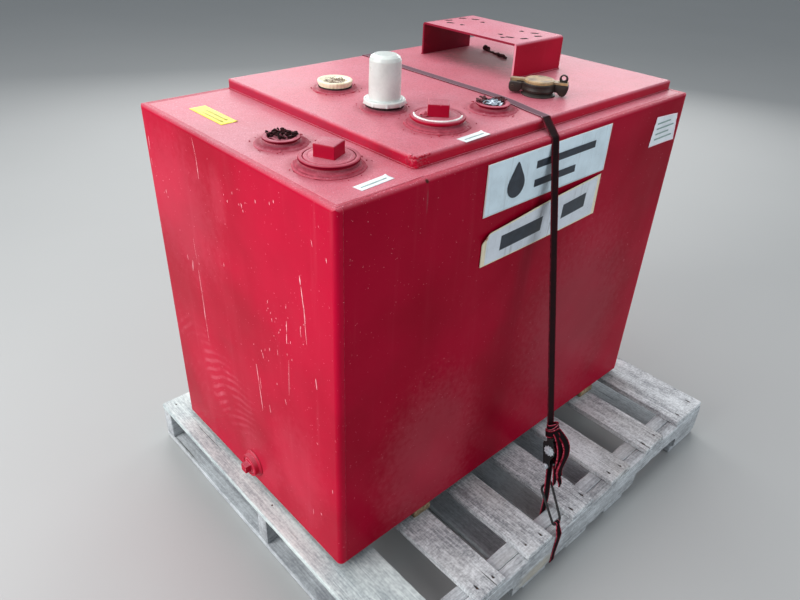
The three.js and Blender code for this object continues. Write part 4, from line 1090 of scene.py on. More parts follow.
# Points round a rounded rectangle in plan.
def planLoop(low, high, corner, height, step=0.004):
    right, left, back, front = high.x - corner, low.x + corner, high.y - corner, low.y + corner
    centres = np.array([(right, back), (left, back), (left, front), (right, front)])[:, None]
    turn = np.linspace(0, math.pi / 2, 8) + np.arange(4)[:, None] * math.pi / 2
    outline = (centres + np.stack(polar(corner, turn), -1)).reshape(-1, 2)
    return atHeight(subdivided(outline, np.roll(outline, -1, 0), step), height)


cornerSettings = {
    "radius": 0.010,
    "shrink": 0.45,
    "lumps": {
        "count": 26, "run": (-0.010, 0.044), "height": (0.003, 0.016), "size": (0.0045, 0.0085),
        "sunk": 0.66,
    },
    "crumbs": {
        "count": 44, "run": (-0.002, 0.046), "height": (0.0185, 0.0222), "size": (0.0013, 0.0028),
        "sunk": 0.3,
    },
}
spatterHeight = 0.0003
# Spatter: port, distance from its middle and count.
spatterSettings = [
    (deckVent, 0.055, 20),
    (spaceVent, 0.068, 22),
    (returnPort, 0.054, 18),
    (gaugePort, 0.054, 14),
    (reliefVent, 0.068, 20),
    (sparePort, 0.055, 14),
]
seamSettings = {
    "low": 0.150,
    "high": 0.985,
    "steps": 420,
    "thin": 0.0007,
    "tack": 0.0010,
    "tackPitch": 0.024,
    "lipSteps": 160,
}


def makeWelds():
    s = seamSettings
    foot = planLoop(panLow, panHigh, cornerSettings["radius"], wallHigh.z + 0.0004)
    weldBead("pan_foot_weld", foot, 0.0019, 0.12, 0.009, 71, loop=True)
    height = np.linspace(s["low"], s["high"], s["steps"])
    seam = np.column_stack([np.full((s["steps"], 2), (endHigh.x, wallLow.y + 0.0005)), height])
    beads = np.sin(height * 2 * math.pi / s["tackPitch"]) + 0.6 * waves(height, 5, 10, 70) - 0.35
    tacks = s["thin"] + s["tack"] * np.clip(beads, 0, 1)
    dressed(tubePiece("corner_seam_weld", seam, tacks, 8, guide=(1.0, 0.1, 0.0)), fittingPaint)
    share = np.linspace(0, 1, s["lipSteps"])
    y = -0.247 + 0.009 * share + 0.0006 * waves(share, 9, 2, 9)
    lip = atHeight(np.column_stack([-0.557 + 0.197 * share, y]), wallHigh.z - 0.0002)
    ridge = 0.0008 + 0.0006 * waves(share, 12, 3, 40)
    dressed(tubePiece("deck_lip_seam", lip, ridge, 8, guide=(0.05, 0.09, 1.0)), fittingPaint)
    makePanCorner()


# Round bumps, sunk to their middles in what carries them.
def makeBumps(name, places, sizes, finish):
    turn = np.linspace(0, 2 * math.pi, 9)[:-1]
    tilt = np.radians(np.linspace(-84, 84, 6))[:, None]
    ball = np.stack(np.broadcast_arrays(*polar(np.cos(tilt), turn), np.sin(tilt)), -1)
    balls = zip(np.concatenate(places), np.concatenate(sizes))
    pieces = [ringSurface("bump", place + size * ball, sharp=80) for place, size in balls]
    return dressed(joined(pieces, name), finish)


# Lumpy weld on the pan's corner, from its left side to its front: soft lumps and crumbs on the top edge.
def makePanCorner():
    rng = np.random.default_rng(33)
    radius = cornerSettings["radius"]
    places, sizes = [], []
    for kind in ("lumps", "crumbs"):
        s = cornerSettings[kind]
        run = rng.uniform(*s["run"], s["count"])
        angle = np.clip(run / radius, 0, math.pi / 2)
        size = rng.uniform(*s["size"], s["count"])
        size = size * (1 - cornerSettings["shrink"] * np.clip(run / s["run"][1], 0, 1))
        inward = s["sunk"] * size
        x = panLow.x + radius - (radius - inward) * np.cos(angle) + np.maximum(run - radius * math.pi / 2, 0)
        y = panLow.y + radius - (radius - inward) * np.sin(angle) + np.maximum(-run, 0)
        z = wallHigh.z + rng.uniform(*s["height"], s["count"])
        places.append(np.stack([x, y, z], -1))
        sizes.append(size)
    makeBumps("pan_corner_weld", places, sizes, panPaint)


# Spatter and lumps round the skirt of each port.
def makeSpatter():
    rng = np.random.default_rng(71)
    places, sizes = [], []
    for centre, reach, count in spatterSettings:
        angle = rng.uniform(0, 2 * math.pi, count)
        out = reach * rng.uniform(0.94, 1.18, count)
        places.append(atHeight(np.column_stack(polar(out, angle)), spatterHeight) + centre)
        sizes.append(rng.uniform(0.0008, 0.0024, count) * (1.5 - out / reach * 0.7))
    makeBumps("weld_spatter", places, sizes, fittingPaint)


# Thin marks on the left end: each runs from one (y, z) to another in mm and has a width in mm.
endScratches = [
    (194, 983, 187, 948, 1.6), (187, 948, 186, 901, 2.6), (399, 930, 402, 899, 3.0),
    (402, 880, 404, 862, 1.4), (268, 680, 274, 650, 3.4), (293, 684, 290, 672, 2.4),
    (250, 742, 247, 690, 1.2), (246, 664, 245, 600, 2.2), (245, 600, 244, 533, 3.2),
    (244, 533, 243, 470, 1.3), (-151, 833, -153, 815, 4.6), (-154, 812, -159, 770, 3.8),
    (-159, 770, -164, 690, 1.8), (-190, 919, -193, 907, 2.4), (-230, 902, -231, 893, 2.6),
    (28, 906, 26, 896, 3.2), (24, 894, 23, 889, 2.6), (-23, 931, -24, 924, 3.4), (-70, 944, -70, 937, 2.6),
    (-83, 952, -84, 946, 3.0), (123, 738, 123, 728, 2.2), (352, 822, 351, 812, 2.2),
    (347, 808, 346, 803, 2.4), (-160, 240, -161, 222, 1.8), (18, 500, 17, 470, 1.6),
    (-60, 620, -61, 606, 1.8), (245, 572, 247, 529, 1.5), (-100, 709, -99, 683, 3.0),
    (-98, 679, -96, 655, 3.4), (-160, 776, -163, 737, 2.2), (-145, 719, -147, 698, 2.0),
    (29, 530, 25, 481, 3.4), (25, 481, 19, 406, 2.8), (-1, 578, -4, 564, 3.0), (-11, 441, -14, 420, 2.2),
    (-188, 625, -191, 601, 4.6), (-100, 617, -93, 523, 1.3), (-76, 502, -80, 488, 2.0),
    (-184, 459, -187, 454, 3.0), (-232, 361, -233, 351, 3.0), (-188, 253, -192, 247, 4.4),
]
# Centre, spread across and spread up, in mm, and count of each cluster of small chips.
chipClusters = [
    (-60, 700, 34, 40, 11),
    (-5, 590, 34, 50, 8),
    (-100, 655, 14, 50, 6),
    (60, 915, 50, 24, 6),
    (-150, 720, 20, 70, 4),
    (245, 620, 10, 90, 5),
    (350, 840, 30, 40, 4),
]
scratchShare = 0.56


# Lens-shaped strips that stand a tenth of a millimetre off the sheet.
def makeScratches():
    rng = np.random.default_rng(17)
    clusters = np.repeat(np.array(chipClusters, float)[:, :4], np.array(chipClusters)[:, 4], 0)
    spot = clusters[:, :2] + rng.normal(0, 1, (len(clusters), 2)) * clusters[:, 2:] * 0.6
    spot[:, 0] = np.clip(spot[:, 0], -245, 410)
    spot[:, 1] = np.clip(spot[:, 1], 160, 975)
    size = rng.uniform(1.5, 3.2, len(spot))
    tail = spot + np.stack([rng.uniform(-0.6, 0.6, len(spot)), -size * rng.uniform(0.9, 2.4, len(spot))], -1)
    marks = np.concatenate([np.array(endScratches, float), np.column_stack([spot, tail, size])])
    t = np.linspace(0, 1, 9)
    start, end, wide = marks[:, None, 0:2], marks[:, None, 2:4], marks[:, 4]
    line = start * (1 - t[:, None]) + end * t[:, None]
    along = unit(end - start)
    side = np.stack([-along[..., 1], along[..., 0]], -1)
    rough = 1 + 0.3 * np.random.default_rng(8).uniform(-1, 1, (len(marks), len(t)))
    half = (wide[:, None] / 2) * np.sin(math.pi * np.clip(t, 0.06, 0.94)) ** 0.6 * rough * scratchShare
    left = line + side * half[..., None]
    right = line - side * half[..., None]
    rims = np.stack([left, right, right, left], 2) * mm
    depth = np.broadcast_to(endLow.x - np.array([0.00012, 0.00012, -0.0002, -0.0002]), rims.shape[:3])
    strips = [ringSurface("mark", rings) for rings in np.concatenate([depth[..., None], rims], -1)]
    dressed(joined(strips, "end_scratches"), scratchMark)


makeTank()
makeWelds()
makeScratches()
print("tank made")

# Ports on top and the drain

collarSettings = {
    "bore": 26.0,
    "threadDeep": 1.0,
    "threadPitch": 1.9,
    "ease": 0.9,
}
openOutline = [
    (54, 0), (53, 1), (50.5, 2.6), (47, 2.9), (43, 4), (38, 5), (33, 5.6), (30.8, 8), (31, 10),
    (36.4, 10.8), (36.5, 13), (35.5, 14.25), (27, 14.25), (26, 13.25),
]
lowOutline = [(53, 0), (52, 1.0), (49, 2.8), (44, 3.2), (38, 4.6), (31, 5.4), (30.5, 6), (26, 6)]
fillOutline = [(38, 0), (38.5, 2), (33, 4), (31, 6.5)]
ventOutline = [
    (67.5, 0), (66.5, 1.2), (64, 3.4), (61.5, 4), (59, 6), (55, 8.8), (49.4, 10.4), (48.8, 12.6),
    (53.6, 13.6), (55, 15), (55, 18), (53.5, 20), (48, 20), (47, 19), (47, 0),
]


# Weld ripples on the low outer part of a collar: height changes with angle, strongest at the toe.
def weldRipple(toeFrom, seed, strength=1.0):
    def change(radius, height, angle):
        toe = np.clip((radius - toeFrom) / 6, 0, 1) * (height < 7)
        turn = angle / (2 * math.pi)
        beads = np.abs(np.sin(angle * 21 + 2.0 * waves(turn, seed, 1.0, 6.0)))
        lump = waves(turn, seed + 1, 1.0, 5.0)
        knots = np.clip(waves(turn, seed + 2, 4.0, 22.0) - 0.25, 0, 1)
        radius = radius + toe * strength * (2.2 * lump + 0.6 * beads + 3.4 * knots - 2.2)
        height = height + toe * strength * (0.8 * (beads - 0.4) + 2.4 * knots) * (height > 0.1)
        return radius, height
    return change


# Thread: the bore's wall zigzags outwards by the thread's depth at each pitch.
def threadedBore(top, bottom=0.2):
    count = int((top - bottom) / collarSettings["threadPitch"])
    height = np.linspace(top, bottom, count * 2 + 1)
    deep = collarSettings["threadDeep"] * (np.arange(len(height)) % 2)
    return np.column_stack([collarSettings["bore"] + deep, height])


def makeCollar(nodeName, outline, top, toeFrom, seed, paint, strength=1.0):
    bore = collarSettings["bore"]
    shape = eased(outline + [(bore, top)], collarSettings["ease"], 3, closed=False)
    profile = np.concatenate([[(bore, 0.0)], shape, threadedBore(top - 0.4)])
    ripple = weldRipple(toeFrom, seed, strength)
    piece = turnedPiece(nodeName + "_turned", profile, centreOf(nodeName), 120, True, ripple, 50)
    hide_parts(nodeName)
    dressed(piece, paint)


def makeVentRing(nodeName, seed, paint):
    profile, ripple = eased(ventOutline, 0.8, 3), weldRipple(58, seed, 1.2)
    piece = turnedPiece(nodeName + "_turned", profile, centreOf(nodeName), 132, True, ripple, 50)
    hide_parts(nodeName)
    dressed(piece, paint)


plugSettings = {
    "disc": [(0, 2), (46.5, 2), (46.5, 18), (44.5, 20.4), (0, 21)],
    "groove": [(38, 20.6), (37, 20.2), (36, 20.7)],
    "headLow": 19.0,
    "headHigh": 25.6,
    "headHalf": 20.9,
    "topHalf": 20.0,
    "rows": 12,
    "bevel": 0.0009,
}


# Plug: turned disc and a cast square head with slightly hollow faces.
def makeBung(nodeName, turn, centre, seed):
    s = plugSettings
    disc = eased(s["disc"], 1.0, 3, closed=False)
    profile = np.concatenate([disc[:-1], s["groove"], disc[-1:]])
    body = turnedPiece(nodeName + "_disc", profile, centre, sharp=40)
    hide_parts(nodeName)
    dressed(body, fittingPaint)
    rise = np.linspace(0, 1, s["rows"])
    side = np.linspace(-1, 1, 9)[:-1]
    ones = np.ones(8)
    edges = (side, -ones), (ones, side), (-side, ones), (-ones, -side)
    square = np.concatenate([np.stack(edge, -1) for edge in edges])
    size = np.where(rise > 0.96, s["topHalf"], s["headHalf"]) - 0.25 * np.sin(rise * math.pi)
    size = size + 0.8 * np.clip(0.25 - rise, 0, 1)
    uneven = 1 + 0.006 * waves(square[:, 0] + square[:, 1] * 3, seed, 1.0, 5.0)
    flat = (square * uneven[:, None]) @ turnedBy(turn)
    heights = s["headLow"] + rise * s["headHigh"]
    rings = np.stack([atHeight(flat * half, high) for half, high in zip(size, heights)]) * mm
    dome = rings[-1:].copy()
    dome[..., :2] *= 0.86
    dome[..., 2] += 0.0004
    head = ringSurface(nodeName + "_head", np.concatenate([rings, dome]) + centre, sharp=30)
    bevel = head.modifiers.new("cast_edges", "BEVEL")
    bevel.width = s["bevel"]
    bevel.segments = 2
    bevel.limit_method = "ANGLE"
    bevel.angle_limit = math.radians(50)
    dressed(head, headPaint)


# Torn sheet: a disc on a polar grid, crumpled by waves, with a ragged rim and its own thickness.
def crumpled(name, port, offset, reach, rise, seed, finish, thick=0.0006):
    angle = np.linspace(0, 2 * math.pi, 73)
    share = np.linspace(0, 1, 13)[:, None]
    rim = reach * (0.82 + 0.18 * waves(angle / 6.28, seed, 1.0, 9.0, 9))
    radius = rim * share
    x, y = polar(radius, angle)
    fold = waves(x * 14 + y * 9, seed + 1, 1.0, 4.0) + waves(y * 17 - x * 6, seed + 2, 1.0, 5.0)
    z = rise * (0.5 + 0.5 * fold) * np.clip(share * 2.2, 0.25, 1)
    grid = np.stack([x, y, z], -1) + np.add(port, offset)
    piece = ringSurface(name, grid, capped=False, around=False, sharp=60)
    piece.modifiers.new("thickness", "SOLIDIFY").thickness = thick
    dressed(piece, finish)


# Ribbons of torn stuff in a port: "from" and "to" bound where they start, "low" and "high" how high they lie.
scrapSettings = {
    "count": 46,
    "steps": 7,
    "arc": (-1.0, 2.6),
    "from": 0.004,
    "to": 0.026,
    "low": 0.014,
    "high": 0.020,
    "length": (0.006, 0.013),
    "width": (0.0032, 0.0080),
    "thick": 0.0022,
    "bend": 0.9,
    "climb": 0.26,
    "seed": 151,
}
ventNear = {"count": 9, "arc": (3.7, 4.5), "from": 0.006, "to": 0.014, "seed": 163, "high": 0.0165}
tapeFolds = {
    "count": 22, "arc": (0.0, 2 * math.pi), "from": 0.0, "to": 0.017, "length": (0.010, 0.018),
    "width": (0.003, 0.008), "seed": 261, "low": 0.011, "high": 0.0165, "thick": 0.0008,
}
tornRim = {"from": 0.021, "to": 0.030, "arc": (-0.6, 2.9), "count": 40, "high": 0.019, "seed": 311}
plugGrains = {
    "arc": (0.0, 2 * math.pi), "from": 0.0, "thick": 0.0007, "count": 150, "steps": 4, "to": 0.026,
    "low": 0.0165, "high": 0.0180, "length": (0.0018, 0.0050), "width": (0.0012, 0.0030), "seed": 401,
    "climb": 0.2,
}


# Torn strips: each is a random walk in heading and climb, as a flat four-sided tube that narrows to its ends.
def makeScraps(name, centre, changes, finish):
    s = dict(scrapSettings, **changes)
    rng = np.random.default_rng(s["seed"])
    count, steps = s["count"], s["steps"]
    angle = rng.uniform(*s["arc"], count)
    out = np.sqrt(rng.uniform(s["from"] ** 2, s["to"] ** 2, count))
    start = np.stack([*polar(out, angle), rng.uniform(s["low"], s["high"], count)], -1)
    heading = rng.uniform(0, 2 * math.pi, (count, 1)) + np.cumsum(rng.normal(0, s["bend"], (count, steps)), 1)
    climb = rng.normal(0, s["climb"], (count, steps))
    ahead = np.stack([*polar(np.cos(climb), heading), np.sin(climb)], -1)
    length = rng.uniform(*s["length"], (count, 1, 1))
    path = start[:, None] + np.cumsum(ahead, 1) * length / steps
    path[..., 2] = np.clip(path[..., 2], s["low"] - 0.002, s["high"] + 0.003)
    along = unit(np.gradient(path, axis=1))
    side = unit(np.cross(along, rng.normal(0, 1, (count, 1, 3)) + (0, 0, 1.5)))
    taper = np.sin(np.linspace(0.35, math.pi - 0.35, steps))[:, None]
    taper = taper * rng.uniform(0.7, 1.2, (count, steps, 1))
    wide = side * taper * rng.uniform(*s["width"], (count, 1, 1)) / 2
    deep = np.cross(along, side) * s["thick"] / 2
    rings = np.stack([path + wide + deep, path - wide + deep, path - wide - deep, path + wide - deep], 2)
    dressed(joined([ringSurface("scrap", ring + centre, sharp=40) for ring in rings], name), finish)


tapeSettings = {
    "arc": (-226, -50),
    "radius": 0.0470,
    "radiusWave": 0.0006,
    "height": 0.0203,
    "thick": 0.0021,
    "thickWave": 0.0007,
}


# Thread tape that has squeezed out round the relief vent's plug.
def makeThreadTape():
    s = tapeSettings
    turn = np.radians(np.linspace(*s["arc"], 90))
    wave = waves(turn / 6.28, 67, 2.0, 12.0)
    flat = np.column_stack(polar(s["radius"] + s["radiusWave"] * wave, turn))
    path = atHeight(flat, s["height"]) + reliefVent
    dressed(tubePiece("thread_tape_ring", path, s["thick"] + s["thickWave"] * wave, 8), whiteTape)


def makePorts():
    makeCollar("deck_vent_collar", openOutline, 14.25, 41, 12, collarPaint)
    makeCollar("spare_collar", openOutline, 14.25, 41, 19, collarPaint)
    makeCollar("return_collar", lowOutline, 6.0, 40, 23, fittingPaint)
    makeCollar("gauge_collar", lowOutline, 6.0, 40, 29, fittingPaint)
    makeCollar("fill_collar", fillOutline, 6.5, 60, 31, bronzeMetal, 0.0)
    makeVentRing("interstitial_vent_ring", 37, collarPaint)
    makeVentRing("emergency_vent_ring", 41, fittingPaint)
    makeBung("interstitial_vent_plug", 25, spaceVent, 3)
    makeBung("emergency_vent_plug", 45, reliefVent, 4)
    crumpled("vent_torn_cover", deckVent, (0, 0, 0.0105), 0.0262, 0.004, 51, fittingPaint)
    makeScraps("vent_scraps", deckVent, {}, rubberRag)
    makeScraps("vent_scraps_near", deckVent, ventNear, rubberRag)
    crumpled("spare_tape", sparePort, (0, 0, 0.009), 0.0245, 0.010, 61, silverTape)
    makeScraps("spare_tape_folds", sparePort, tapeFolds, silverTape)
    makeScraps("spare_torn_rim", sparePort, tornRim, darkRag)
    crumpled("spare_torn_cover", sparePort, (0, 0, 0.0085), 0.0262, 0.003, 57, fittingPaint)
    crumpled("relief_paint_flap", reliefVent, (-0.031, 0.006, 0.0205), 0.011, 0.008, 73, fittingPaint, 0.0008)
    makeThreadTape()
    makeSpatter()


capSettings = {
    "cup": [
        (0, 6.5), (33, 6.5), (36, 8), (39, 17), (39, 19), (38, 20.4), (34, 20.6), (30, 18.4), (16, 15.6),
        (0, 15),
    ],
    "tall": [
        (0, 6.5), (34, 6.5), (34, 10.5), (42.4, 10.5), (43.6, 11.6), (43.6, 18.6), (42.6, 20.4), (40.6, 20.6),
        (38.8, 19.4), (34.4, 20.2), (33.2, 22.5), (33, 60), (32.6, 97), (30, 103.5), (23, 108), (0, 108),
    ],
    "gapInner": 33.0,
    "gapLow": 6.1,
}


def makeCaps():
    s = capSettings

    def ribbed(radius, height, angle):
        outer = (radius > 35.8) * (height > 8.5)
        return radius - outer * 0.55 * (np.sin(angle * 30) > 0.55), height

    profile = eased(s["cup"], 0.8, 3, closed=False)
    plug = turnedPiece("return_plug_turned", profile, returnPort, 180, False, ribbed, 40)
    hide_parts("return_plug")
    dressed(plug, creamPlastic)
    crumpled("return_plug_dirt", returnPort, (0, 0, 0.0150), 0.0315, 0.0024, 97, dirtyCream)
    makeScraps("return_plug_crumbs", returnPort + Vector((0.002, 0.003, 0.0)), plugGrains, crumbs)

    def nubbed(radius, height, angle):
        flange = (radius > 42) * (height > 11.0) * (height < 14.6)
        return radius + flange * 2.6 * np.clip(np.cos(angle * 9 + 0.7) * 9 - 7.6, 0, 1), height

    profile = eased(s["tall"], 0.8, 4, closed=False)
    cap = turnedPiece("gauge_cap_turned", profile, gaugePort, 168, False, nubbed, 40)
    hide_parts("gauge_cap")
    dressed(cap, whitePlastic)
    gaps = []
    inner, low = s["gapInner"], s["gapLow"]
    for port, reach, top in ((gaugePort, 40.5, 10.2), (returnPort, 37.4, 8.4)):
        section = [(inner, low), (reach, low), (reach, top), (inner, top)]
        gaps.append(turnedPiece("gap", section, port, 72, True))
    dressed(joined(gaps, "cap_shadow_gaps"), boreDark)


fillSettings = {
    "along": (0.507, -0.862),
    "band": [
        (35.5, 11), (36.3, 12), (36.3, 14), (35.5, 15), (35.5, 21), (36.4, 22), (36.4, 26), (35.7, 26.8),
        (34.6, 26.8), (34.6, 11),
    ],
    "ribsAt": (-61.0, -55.8, -50.6, -45.4, -40.2),
    "ribSide": -15.2,
    "ribLow": 10.0,
    "ribHigh": 24.2,
    "cheek": [(-36, 26), (-36, 12), (-42, 5), (-54, 2.5), (-62, 4), (-66.5, 10), (-66.5, 22), (-64, 26)],
    "wedge": [(34, 26.5), (34, 18), (42, 9), (48, 3), (56, 2), (62, 7), (65, 17), (65, 26.5)],
    "dish": [(0, 33), (18, 33.1), (24, 33.2), (27, 34), (30.5, 34), (32.5, 33.2), (32.5, 32.2), (0, 32.2)],
    "castings": [
        ("fill_cap_cheek_near", "cheek", -16.4, -7.8),
        ("fill_cap_cheek_far", "cheek", 7.8, 16.4),
        ("fill_cap_lock_lobe", "wedge", -10.2, 10.2),
    ],
}


# Fill cap: body, pin and lid are the CAD shapes with soft edges; a turned band and cast ribs dress the body.
def makeFillCap():
    dressed(softened("fill_cap_body", 0.0011, 3, 35), bronzeMetal)
    dressed(softened("fill_cap_pin", 0.0005, 2, 35), bronzeMetal)
    dressed(softened("fill_cap_lid", 0.0010, 3, 35), lidMetal, "lid")
    s = fillSettings
    dressed(turnedPiece("fill_cap_band", s["band"], fillPort, closed=True, sharp=40), bronzeMetal)
    cos, sin = s["along"]
    turn = np.array([[cos, sin], [-sin, cos]])
    ribs = []
    height = np.linspace(s["ribLow"], s["ribHigh"], 14)
    for x in s["ribsAt"]:
        for side in (1, -1):
            path = np.column_stack([np.full((14, 2), (x, side * s["ribSide"])), height])
            points = np.column_stack([path[:, :2] @ turn, path[:, 2]]) * mm + fillPort
            ribs.append(tubePiece("rib", points, 0.0010, 8, guide=(0.9, 0.1, 0.05)))
    dressed(joined(ribs, "fill_cap_ribs"), bronzeMetal)
    for name, title, y0, y1 in s["castings"]:
        outline = eased(s[title], 3.0, 4)
        middle = outline.mean(0)
        y = np.array([y0, y0 + 0.5, y0 + 1.6, y0 + 2.6, y1 - 2.6, y1 - 1.6, y1 - 0.5, y1])
        share = 1 - np.array([2.4, 0.8, 0.1, 0, 0, 0.1, 0.8, 2.4])[:, None, None] / 14
        shape = middle + (outline - middle) * share
        flat = np.stack([shape[..., 0], np.broadcast_to(y[:, None], shape.shape[:2])], -1) @ turn
        rings = np.concatenate([flat, shape[..., 1:]], -1) * mm + fillPort
        dressed(ringSurface(name, rings, sharp=40), bronzeMetal)
    profile = eased(s["dish"], 0.7, 3, closed=False)
    dressed(turnedPiece("fill_cap_lid_rim", profile, fillPort, sharp=50), lidMetal, "lid")


# The drain's collar is turned upright and laid on the left end, so that its axis points along -X.
def makeDrain():
    low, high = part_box("drain_collar")
    outline = [(22, 0), (36, 0), (36.5, 2), (31, 5), (29, 6), (29, 16), (28, 17), (22.2, 17)]
    profile, ripple = eased(outline, 0.8, 3), weldRipple(31, 77, 0.9)
    ring = turnedPiece("drain_collar_turned", profile, (0, 0, 0), 96, True, ripple, 45)
    y, z, x = spots(ring).T
    places = np.column_stack([endLow.x - x, (low.y + high.y) / 2 + y, (low.z + high.z) / 2 + z])
    ring.data.vertices.foreach_set("co", places.astype(np.float32).ravel())
    ring.data.update()
    cleaned(ring, 45)
    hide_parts("drain_collar")
    dressed(ring, endPaint)
    dressed(softened("drain_plug", 0.0009, 2, 35), endPaint)


slotSettings = {
    "slots": [
        (268.7, 321, -24), (246.9, 293.3, -60), (321.9, 320, -24), (340.7, 290.9, -60),
        (242.1, 88.2, -60), (260.6, 58, -24), (335.8, 84.3, -45), (313.4, 56.9, -24),
    ],
    "holes": [(254.1, 258.4), (327.9, 252.3), (250, 123.9), (226, 97.4), (326, 118.8)],
    "halfLength": 5.25,
    "slotRadius": 3.2,
    "holeRadius": 3.95,
    # Width of the painted-shade rims round the openings.
    "stainAndPaintedLight": 3.4,
    "sunk": 1.0,
    "proud": 0.12,
    "steps": 40,
}


# Painted shade round the slots and holes: dark rims, each outline offset by the rim width times (0.7 + 0.3
# sin 3a).
def makeSlotShadeRims():
    s = slotSettings
    angle = np.arange(s["steps"]) * 2 * math.pi / s["steps"]
    outward = np.stack(polar(1, angle), -1)
    marks = [(x, y, turn, s["halfLength"], s["slotRadius"]) for x, y, turn in s["slots"]]
    marks += [(x, y, 0, 0.0, s["holeRadius"]) for x, y in s["holes"]]
    rims = []
    for number, (x, y, turn, half, radius) in enumerate(marks):
        grown = s["stainAndPaintedLight"] * (0.7 + 0.3 * np.sin(angle * 3 + number * 2.1))
        core = np.stack([half * np.sign(np.cos(angle)), 0 * angle], -1)
        inner = core + outward * radius
        outer = core + outward * (radius + grown)[:, None]
        section = [(inner, -s["sunk"]), (outer, -0.05), (outer, s["proud"]), (inner, s["proud"])]
        rings = np.stack([atHeight(line @ turnedBy(turn) + (x, y), z) for line, z in section], 1)
        placed = rings * mm + (0, 0, bracketHigh.z)
        rims.append(ringSurface("rim", placed, loop=True, capped=False, sharp=60))
    dressed(joined(rims, "bracket_slot_shade_rims"), boreDark)


# Torn scrap under the bracket: a lumpy tube, thickest near its start.
def makeBracketScrap():
    share = np.linspace(0, 1, 60)
    lumps = np.exp(-((share - 0.06) / 0.13) ** 2) + 0.45 * np.exp(-((share - 0.78) / 0.24) ** 2)
    size = 0.0042 * (0.55 + lumps) * (1 + 0.38 * waves(share, 93, 4, 16))
    path = np.column_stack([
        0.376 - 0.034 * share + 0.008 * waves(share, 91, 1, 5),
        0.276 - 0.104 * share + 0.004 * waves(share, 97, 2, 6),
        panHigh.z + size * 0.8 + 0.004 * np.clip(waves(share, 92, 1, 5), 0, 1),
    ])
    dressed(tubePiece("bracket_scrap", path, size, 12, guide=(0.1, 0.2, 1.0)), rubberRag)


def makeBracket():
    dressed(softened("pump_bracket", 0.0007, 2, 30), bracketPaint)
    x = np.linspace(bracketLow.x, bracketHigh.x, 60)
    for side, y in (("near", bracketLow.y - 0.0003), ("far", bracketHigh.y + 0.0003)):
        path = atHeight(np.column_stack([x, np.full(60, y)]), panHigh.z + 0.0006)
        weldBead("bracket_weld_" + side, path, 0.0022, 0.15, 0.008, 83)
    makeSlotShadeRims()
    makeBracketScrap()


makePorts()
makeCaps()
makeFillCap()
makeDrain()
makeBracket()
print("ports made")

# Signs and labels


# Sheet over four corners: bilinear in (u, v), with out(u, v) as the distance off its plane.
def sheetPiece(name, corners, normal, out, thick, finish, counts=(60, 24), bend=None):
    u = np.linspace(0, 1, counts[0])[:, None]
    v = np.linspace(0, 1, counts[1])
    shares = (1 - u) * (1 - v), u * (1 - v), u * v, (1 - u) * v
    mixed = sum(share[..., None] * corner for share, corner in zip(shares, corners))
    mixed = mixed + out(u, v)[..., None] * normal
    if bend is not None:
        mixed = bend(mixed)
    flow = np.stack(np.broadcast_arrays(u * 2 - 1, v * 2 - 1, 0.0 * u * v), -1)
    rings = np.concatenate([mixed, flow], -1)
    piece = ringSurface(name, rings, capped=False, around=False, clean=False)
    shadeSmooth(piece, 60)
    solid = piece.modifiers.new("thickness", "SOLIDIFY")
    solid.thickness = thick
    solid.offset = 0.0
    return dressed(piece, finish)


# A mark printed on a sheet: a flat outline in (x, z), filled as a fan of quads. The face that it stands on
# is at y, which is a number or a function of x and z.
def printedMark(name, outline, y, finish):
    centre = outline.mean(0)
    shares = np.array([0.0, 0.5, 1.0])[:, None, None]
    x, z = np.moveaxis(centre + (outline - centre) * shares, -1, 0)
    near = np.stack(np.broadcast_arrays(x, y(x, z) if callable(y) else y, z), -1)
    far = near[::-1] + (0, 0.0003, 0)
    return dressed(ringSurface(name, np.concatenate([near, far]), capped=False, sharp=30), finish)


# Drop: a circle whose upper half runs up to a point.
def dropOutline(x, z, size, count=48):
    angle = np.arange(count) * 2 * math.pi / count
    point = np.clip(np.sin(angle), 0, 1) ** 4
    wide = size * np.cos(angle) * (1 - 0.45 * point)
    return np.column_stack([x + wide, z + size * (np.sin(angle) + 0.85 * point)])


def barOutline(x0, x1, z0, z1, slope=0.0):
    x = np.array([x0, (x0 + x1) / 2, x1, x1, x1, (x0 + x1) / 2, x0, x0])
    z = np.array([z0, z0, z0, (z0 + z1) / 2, z1, z1, z1, (z0 + z1) / 2])
    return np.column_stack([x, z + slope * (x - x0)])


def printedBars(name, outlines, y, finish):
    joined([printedMark("bar", outline, y, finish) for outline in outlines], name)


signSettings = {
    "upperWave": 0.0006,
    "printOff": 0.0016,
    "thick": 0.0010,
    "lowerThick": 0.0012,
    "lowerCorners": [(-0.204, 0.765), (0.194, 0.771), (0.194, 0.869), (-0.204, 0.835)],
    "lowerWide": 0.398,
    "bow": 0.0085,
    "lift": 0.0009,
    "arch": 0.0095,
    "curlRadius": 0.010,
    "curlFrom": 0.016,
    "barSlope": 0.05,
}


def makeUpperSign():
    s = signSettings
    low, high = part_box("sign_upper")
    face = low.y

    def ripple(u, v):
        return s["upperWave"] * (waves(u, 3, 1, 3) + waves(v, 4, 0.5, 2)) * 0.5 + 0.0002

    corners = [(low.x, face, low.z), (high.x, face, low.z), (high.x, face, high.z), (low.x, face, high.z)]
    sheet = sheetPiece("sign_upper_sheet", corners, (0, -1, 0), ripple, s["thick"], signFace)
    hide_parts("sign_upper")
    middle, printAt = (low.z + high.z) / 2, face - s["printOff"]
    printedMark("sign_drop", dropOutline(-0.120, middle - 0.008, 0.026), printAt, signMark)
    upper = barOutline(-0.060, 0.145, middle + 0.012, middle + 0.028)
    lower = barOutline(-0.060, 0.080, middle - 0.028, middle - 0.012)
    printedBars("sign_bars", [upper, lower], printAt, signMark)


